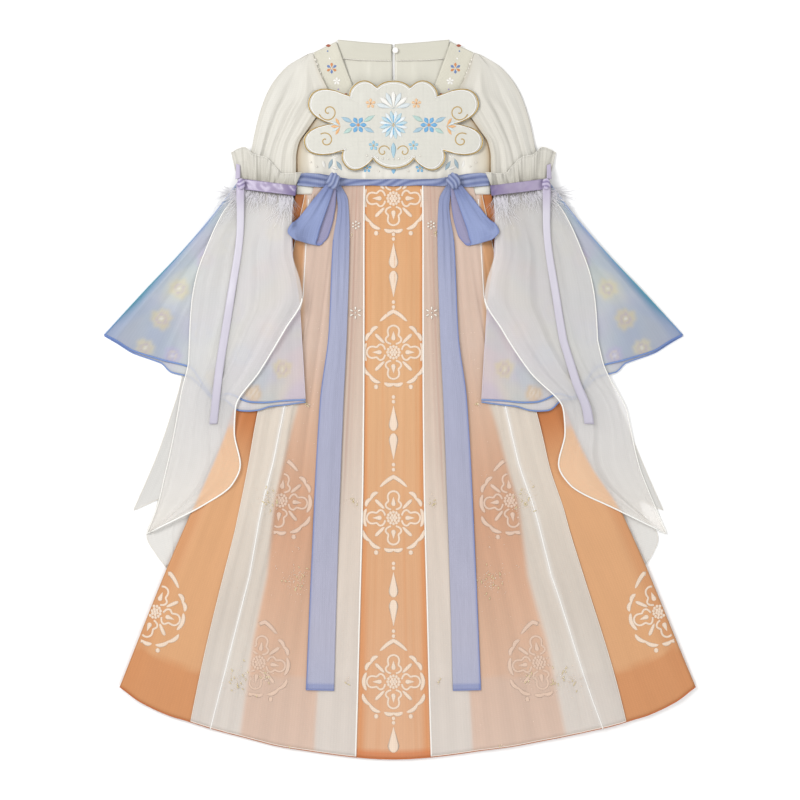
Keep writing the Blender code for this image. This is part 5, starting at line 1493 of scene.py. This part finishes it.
def bead_tree():
    """A bead at each point of a mesh, with the size and turn that the point carries."""
    tree = bpy.data.node_groups.new("beads_on_points", "GeometryNodeTree")
    tree.interface.new_socket("Places", in_out="INPUT", socket_type="NodeSocketGeometry")
    tree.interface.new_socket("Bead detail", in_out="INPUT", socket_type="NodeSocketInt")
    tree.interface.new_socket("Bead material", in_out="INPUT", socket_type="NodeSocketMaterial")
    tree.interface.new_socket("Beads", in_out="OUTPUT", socket_type="NodeSocketGeometry")
    given = add(tree, "NodeGroupInput").outputs
    size = add(
        tree, "GeometryNodeInputNamedAttribute", {"Name": "size"}, data_type="FLOAT_VECTOR",
    ).outputs["Attribute"]
    turn = add(
        tree, "GeometryNodeInputNamedAttribute", {"Name": "turn"}, data_type="FLOAT_VECTOR",
    ).outputs["Attribute"]
    ball = add(
        tree, "GeometryNodeMeshIcoSphere", {"Radius": MM}, {"Subdivisions": given["Bead detail"]},
    ).outputs["Mesh"]
    given_to = {"Points": given["Places"], "Instance": ball, "Rotation": turn, "Scale": size}
    spread_out = add(tree, "GeometryNodeInstanceOnPoints", links=given_to).outputs["Instances"]
    real = add(tree, "GeometryNodeRealizeInstances", links={0: spread_out}).outputs[0]
    smooth = add(tree, "GeometryNodeSetShadeSmooth", links={0: real}).outputs[0]
    dressed = add(
        tree, "GeometryNodeSetMaterial", links={0: smooth, "Material": given["Bead material"]},
    ).outputs[0]
    add(tree, "NodeGroupOutput", links={"Beads": dressed})
    return tree


def beads(name, places, cloth, detail=2):
    """Beads from rows of x, y, z, half sizes along, across and up, and turn in degrees."""
    rows = np.array(places, float)
    mesh = bpy.data.meshes.new(name)
    mesh.from_pydata(((rows[:, :3] + (MIDDLE_X, 0, 0)) * MM).tolist(), [], [])
    for label, values in (
        ("size", rows[:, 3:6]),
        ("turn", np.stack([0 * rows[:, 6], 0 * rows[:, 6], np.radians(rows[:, 6])], 1)),
    ):
        mesh.attributes.new(label, "FLOAT_VECTOR", "POINT").data.foreach_set("vector", values.ravel())
    holder = bpy.data.objects.new(name + "_places", mesh)
    bpy.context.scene.collection.objects.link(holder)
    modifier = holder.modifiers.new("beads", "NODES")
    modifier.node_group = bpy.data.node_groups.get("beads_on_points") or bead_tree()
    sockets = {
        s.name: s.identifier for s in modifier.node_group.interface.items_tree if s.in_out == "INPUT"
    }
    modifier[sockets["Bead detail"]] = detail
    modifier[sockets["Bead material"]] = cloth
    depsgraph = bpy.context.evaluated_depsgraph_get()
    plain = bpy.data.meshes.new_from_object(holder.evaluated_get(depsgraph))
    bpy.data.objects.remove(holder)
    made = bpy.data.objects.new(name, plain)
    bpy.context.scene.collection.objects.link(made)
    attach(made, "root")
    return made


def on_cloth(node, x, y, lift):
    """The height of a laid sheet at a place, with a lift."""
    return float(top_of(SKINS[node], np.array([x]), np.array([y]))[0]) + lift


PEARL_FLOWERS = ((51.7, 117.6, 6.2), (51.0, 236.6, 4.4))  # middle x, y, reach
BODICE_PEARLS = ((20.0, 310.0), (104.0, 316.0), (112.0, 322.0))
CLUSTERS = (  # middle x, y, spread across and down, count, leaf beads
    (53.5, -140.5, 9.0, 12.0, 22, 4), (169.0, -136.0, 15.0, 18.0, 70, 12),
    (131.0, -244.0, 19.0, 24.0, 70, 14), (208.0, -381.0, 24.0, 20.0, 60, 16),
    (172.0, -376.0, 8.0, 14.0, 40, 5), (116.0, -7.0, 5.0, 5.0, 10, 3), (57.0, 224.0, 4.0, 6.0, 8, 2),
    (62.0, -382.0, 4.0, 5.0, 8, 2), (160.0, -227.0, 3.0, 3.0, 4, 0), (129.0, -202.0, 3.0, 3.0, 4, 0),
    (141.0, -471.0, 4.0, 3.0, 5, 1),
)


def pearl_rows():
    """Pearls down the straps and collar, in two flowers on each panel, and on the bodice."""
    rows = []
    for suffix, side in SIDES:
        line = edge_line(f"neck_strap_{suffix}", "outer")
        run = run_along(line)
        for k in range(10):
            at = 10.0 + 6.2 * k
            if at < run[-1] - 1:
                x, y, z = (float(np.interp(at, run, line[:, m])) for m in range(3))
                size = 1.9 + 0.35 * math.sin(2.3 * k)
                rows.append((x, y, z + 1.0, size, size, size, 0))
        line = edge_line(f"back_collar_{suffix}", "outer")
        for x, y, z in line[2:-2:2]:
            rows.append((x, y, z + 0.3, 0.8, 0.8, 0.8, 0))
        for cx, cy, reach in PEARL_FLOWERS:
            for m in range(6):
                turn = 2 * math.pi * (m + 0.5) / 6
                x, y = side * cx + reach * math.cos(turn), cy + reach * math.sin(turn)
                rows.append(
                    (
                        x, y, on_cloth(f"overskirt_{suffix}", x, y, 0.8), 0.4 * reach, 1.2, 1.1,
                        math.degrees(turn),
                    )
                )
            rows.append(
                (side * cx, cy, on_cloth(f"overskirt_{suffix}", side * cx, cy, 0.9), 1.2, 1.2, 1.2, 0)
            )
        for x, y in BODICE_PEARLS:
            rows.append((side * x, y, on_cloth("front_bodice", side * x, y, 0.9), 1.2, 1.2, 1.2, 0))
    beads("pearls", rows, PEARL)


def skirt_beads():
    """Sprigs of small beads on the overskirt, and single ones strewn between them."""
    chance = random.Random(11)
    seeds, leaves = [], []
    for suffix, side in SIDES:
        node = f"overskirt_{suffix}"
        for cx, cy, wide, tall, count, leaf_count in CLUSTERS:
            for k in range(count + leaf_count):
                x = cx + chance.gauss(0, 0.45) * wide
                y = cy + chance.gauss(0, 0.45) * tall
                x = spread_one(side * x, y)
                if k < count:
                    size = chance.uniform(0.45, 0.75)
                    seeds.append((x, y, on_cloth(node, x, y, 0.35), size, size, size, 0))
                else:
                    long = chance.uniform(1.8, 3.0)
                    leaves.append(
                        (x, y, on_cloth(node, x, y, 0.5), long, 0.75, 0.6, side * chance.uniform(20, 110))
                    )
        for k in range(130):
            down = chance.uniform(0.25, 0.98)
            share = chance.uniform(0.08, 0.92)
            grid = SURFACES[node]
            i, j = int(share * (grid[0].shape[0] - 1)), int(down * (grid[0].shape[1] - 1))
            size = chance.uniform(0.35, 0.55)
            seeds.append((grid[0][i, j], grid[1][i, j], grid[2][i, j] + 0.25, size, size, size, 0))
    beads("seed_beads", seeds, SEED, 1)
    beads("leaf_beads", leaves, LEAF, 1)


def plaque_stitching():
    """Cords, rosettes, leaves and scrolls on the chest piece, in an even, mirrored layout."""
    cx, cy = PLAQUE_CENTRE
    turn = np.linspace(0, 2 * math.pi, 181)
    reach = plaque_reach(turn)
    for label, inset, radius, cloth, code in (
        ("outer", 1.6, 0.75, GOLD, "#FFFFFF"), ("inner", 5.0, 0.5, PIPING, "#FFFFFF"),
    ):
        x, y = cx + (reach - inset) * np.cos(turn), cy + (reach - inset) * np.sin(turn)
        z = top_of(SKINS["chest_plaque"], x, y) + 0.15
        tube(f"plaque_{label}_cord", np.stack([x, y, z], 1), radius, cloth, code)
    drawing = Drawing("chest_plaque", 0.55)
    for k in range(16):
        drawing.leaf(cx, cy + 4, 22.5 * k + 11, 19.5, 2.6, "#E8EEF0" if k % 2 else "#BFD9E2", 0.7)
    drawing.blossom(cx, cy + 4, 13.5, 8, "#7FB6D9", "#CFE6EE", "#C9A255")
    for k in range(7):
        drawing.leaf(cx, cy + 26, 15 + 25 * k, 24.0, 3.4, "#F4F2EC" if k % 2 else "#DCE4E6", 0.68)
    drawing.leaf(cx, cy - 20, -90, 22.0, 3.4, "#A9CBDA", 0.4)
    for side in (-1, 1):
        drawing.blossom(cx + side * 48, cy + 4, 11.5, 6, "#6FAEDC", "#BFE0EE", "#D08B45", 60)
        drawing.blossom(cx + side * 27, cy - 24, 7.0, 5, "#9CCBE0", "#E3F1F4", "#C9A255")
        drawing.blossom(cx + side * 31, cy + 33, 7.0, 5, "#F0C79A", "#F6E2C8", "#C98A4A")
        for lean, long, code in (
            (150, 17, "#B7D3CC"), (205, 15, "#A8C6D6"), (330, 14, "#B7D3CC"), (25, 16, "#A8C6D6"),
        ):
            start_x = cx + side * 48 + side * 9 * math.cos(math.radians(lean))
            start_y = cy + 4 + 9 * math.sin(math.radians(lean))
            drawing.leaf(start_x, start_y, lean if side > 0 else 180 - lean, long, 3.0, code, 0.45)
        drawing.spiral(cx + side * 88, cy + 22, 13.0, 200 if side > 0 else -20, 1.4, "#C5A563", 0.8, side)
        drawing.spiral(cx + side * 92, cy - 17, 11.0, 160 if side > 0 else 20, 1.3, "#C5A563", 0.8, -side)
        for k in range(5):
            drawing.leaf(
                cx + side * 72, cy + 2, (side < 0) * 180 + side * (-60 + 30 * k), 13.0, 1.9,
                "#D5E3E6" if k % 2 else "#EFB981", 0.6,
            )
        drawing.spiral(cx + side * 14, cy - 32, 9.0, 90, 1.2, "#C5A563", 0.7, side)
    drawing.make("plaque_stitching", STITCH_BRIGHT)
    stones = []
    for k in range(11):
        x, y = cx + (k - 5) * 7.2, cy - 42 + 0.18 * (k - 5) ** 2
        stones.append((x, y, on_cloth("chest_plaque", x, y, 0.7), 1.2, 1.2, 1.1, 0))
    beads("plaque_pearls", stones, PEARL)


def bodice_stitching():
    """Small sprigs between the chest piece and the sash, and motifs down the neck straps."""
    drawing = Drawing("front_bodice", 0.35)
    for side in (-1, 1):
        for x, y, lean in ((70.0, 311.0, 60.0), (88.0, 313.0, 110.0)):
            drawing.leaf(side * x, y, lean if side > 0 else 180 - lean, 15.0, 2.6, "#9DB4C0", 0.5)
            drawing.leaf(
                side * (x + 5), y + 1, lean - 35 if side > 0 else 215 - lean, 11.0, 2.0, "#F2F0EA", 0.5,
            )
        drawing.spiral(side * 78, 332.0, 7.0, 90, 1.2, "#F6F4EE", 0.9, side)
        drawing.blossom(side * 36, 314.0, 6.5, 5, "#7DB7DB", "#CBE4EE", "#D7B46C")
        drawing.leaf(side * 44, 314.0, 0 if side > 0 else 180, 12.0, 2.0, "#B9CBD6", 0.5)
    drawing.leaf(0.0, 306.0, 90, 10.0, 3.0, "#86BBDD", 0.5)
    drawing.make("bodice_sprigs", STITCH_BRIGHT)
    for suffix, side in SIDES:
        strap = Drawing(f"neck_strap_{suffix}", 0.35)
        strap.leaf(side * 92.0, 480.5, 180 if side > 0 else 0, 7.0, 2.0, "#A9573A", 0.5)
        strap.dot(side * 89.5, 473.0, 1.1, "#6D86B8")
        for k in range(6):
            strap.leaf(side * 84.0, 450.0, 60.0 * k + 30, 7.4, 1.8, "#D98C54" if k % 2 else "#6C86BC", 0.7)
        strap.dot(side * 84.0, 450.0, 1.3, "#EFE3C8")
        for k in range(5):
            strap.leaf(side * 77.0, 432.5, 72.0 * k + 90, 5.4, 1.7, "#F8F6F0", 0.6)
        strap.dot(side * 75.0, 421.5, 1.2, "#B2A5CC")
        strap.leaf(side * 68.0, 413.0, 150 if side > 0 else 30, 6.0, 1.5, "#A9573A", 0.5)
        strap.dot(side * 86.5, 463.0, 1.3, "#F8F6F0")
        strap.make(f"strap_motifs_{suffix}", STITCH_BRIGHT)


def camera_and_light():
    """Soft light from three sides, and the camera straight above."""
    world = bpy.data.worlds.new("studio")
    world.use_nodes = True
    world.node_tree.nodes["Background"].inputs["Color"].default_value = (1.0, 1.0, 1.0, 1.0)
    world.node_tree.nodes["Background"].inputs["Strength"].default_value = 0.55
    scene = bpy.context.scene
    scene.world = world
    scene.view_settings.view_transform = "Standard"
    for name, spot, size, power in (
        ("key", (-1.2, 0.9, 1.7), 1.0, 30.0), ("fill", (1.4, 0.3, 2.0), 1.6, 14.0),
        ("low", (0.0, -1.6, 1.6), 1.4, 12.0),
    ):
        lamp = bpy.data.lights.new(name, "AREA")
        lamp.size = size
        lamp.energy = power
        made = bpy.data.objects.new(name, lamp)
        made.location = spot
        made.rotation_euler = (-Vector(spot)).to_track_quat("-Z", "Y").to_euler()
        scene.collection.objects.link(made)
    lens = bpy.data.cameras.new("camera")
    lens.lens = 85.0
    lens.sensor_width = 36.0
    eye = bpy.data.objects.new("camera", lens)
    eye.location = (0.3 * MM, -0.7 * MM, 2.57)
    scene.collection.objects.link(eye)
    scene.camera = eye


def ground():
    """The pale paper that the dress lies on."""
    paper = bpy.data.materials.new("studio_paper")
    paper.use_nodes = True
    tree = paper.node_tree
    shader = tree.nodes["Principled BSDF"]
    fleck = add(tree, "ShaderNodeTexNoise", {"Scale": 300.0})
    height = add(
        tree, "ShaderNodeBump", {"Distance": 0.0001, "Strength": 0.2}, {"Height": fleck.outputs["Fac"]},
    )
    tree.links.new(height.outputs["Normal"], shader.inputs["Normal"])
    shader.inputs["Base Color"].default_value = (0.93, 0.93, 0.93, 1.0)
    shader.inputs["Roughness"].default_value = 0.9
    bpy.ops.mesh.primitive_plane_add(size=12.0, location=(0, 0, -0.0006))
    floor = bpy.context.object
    floor.name = "floor"
    floor.data.materials.append(paper)


def main():
    camera_and_light()
    ground()
    back_pieces()
    skirt_pieces()
    neck_pieces()
    waist_pieces()
    sleeve_pieces()
    bow_pieces()
    skirt_print()
    painted_armhole_shadows()
    pipings()
    pearl_rows()
    skirt_beads()
    plaque_stitching()
    bodice_stitching()


main()
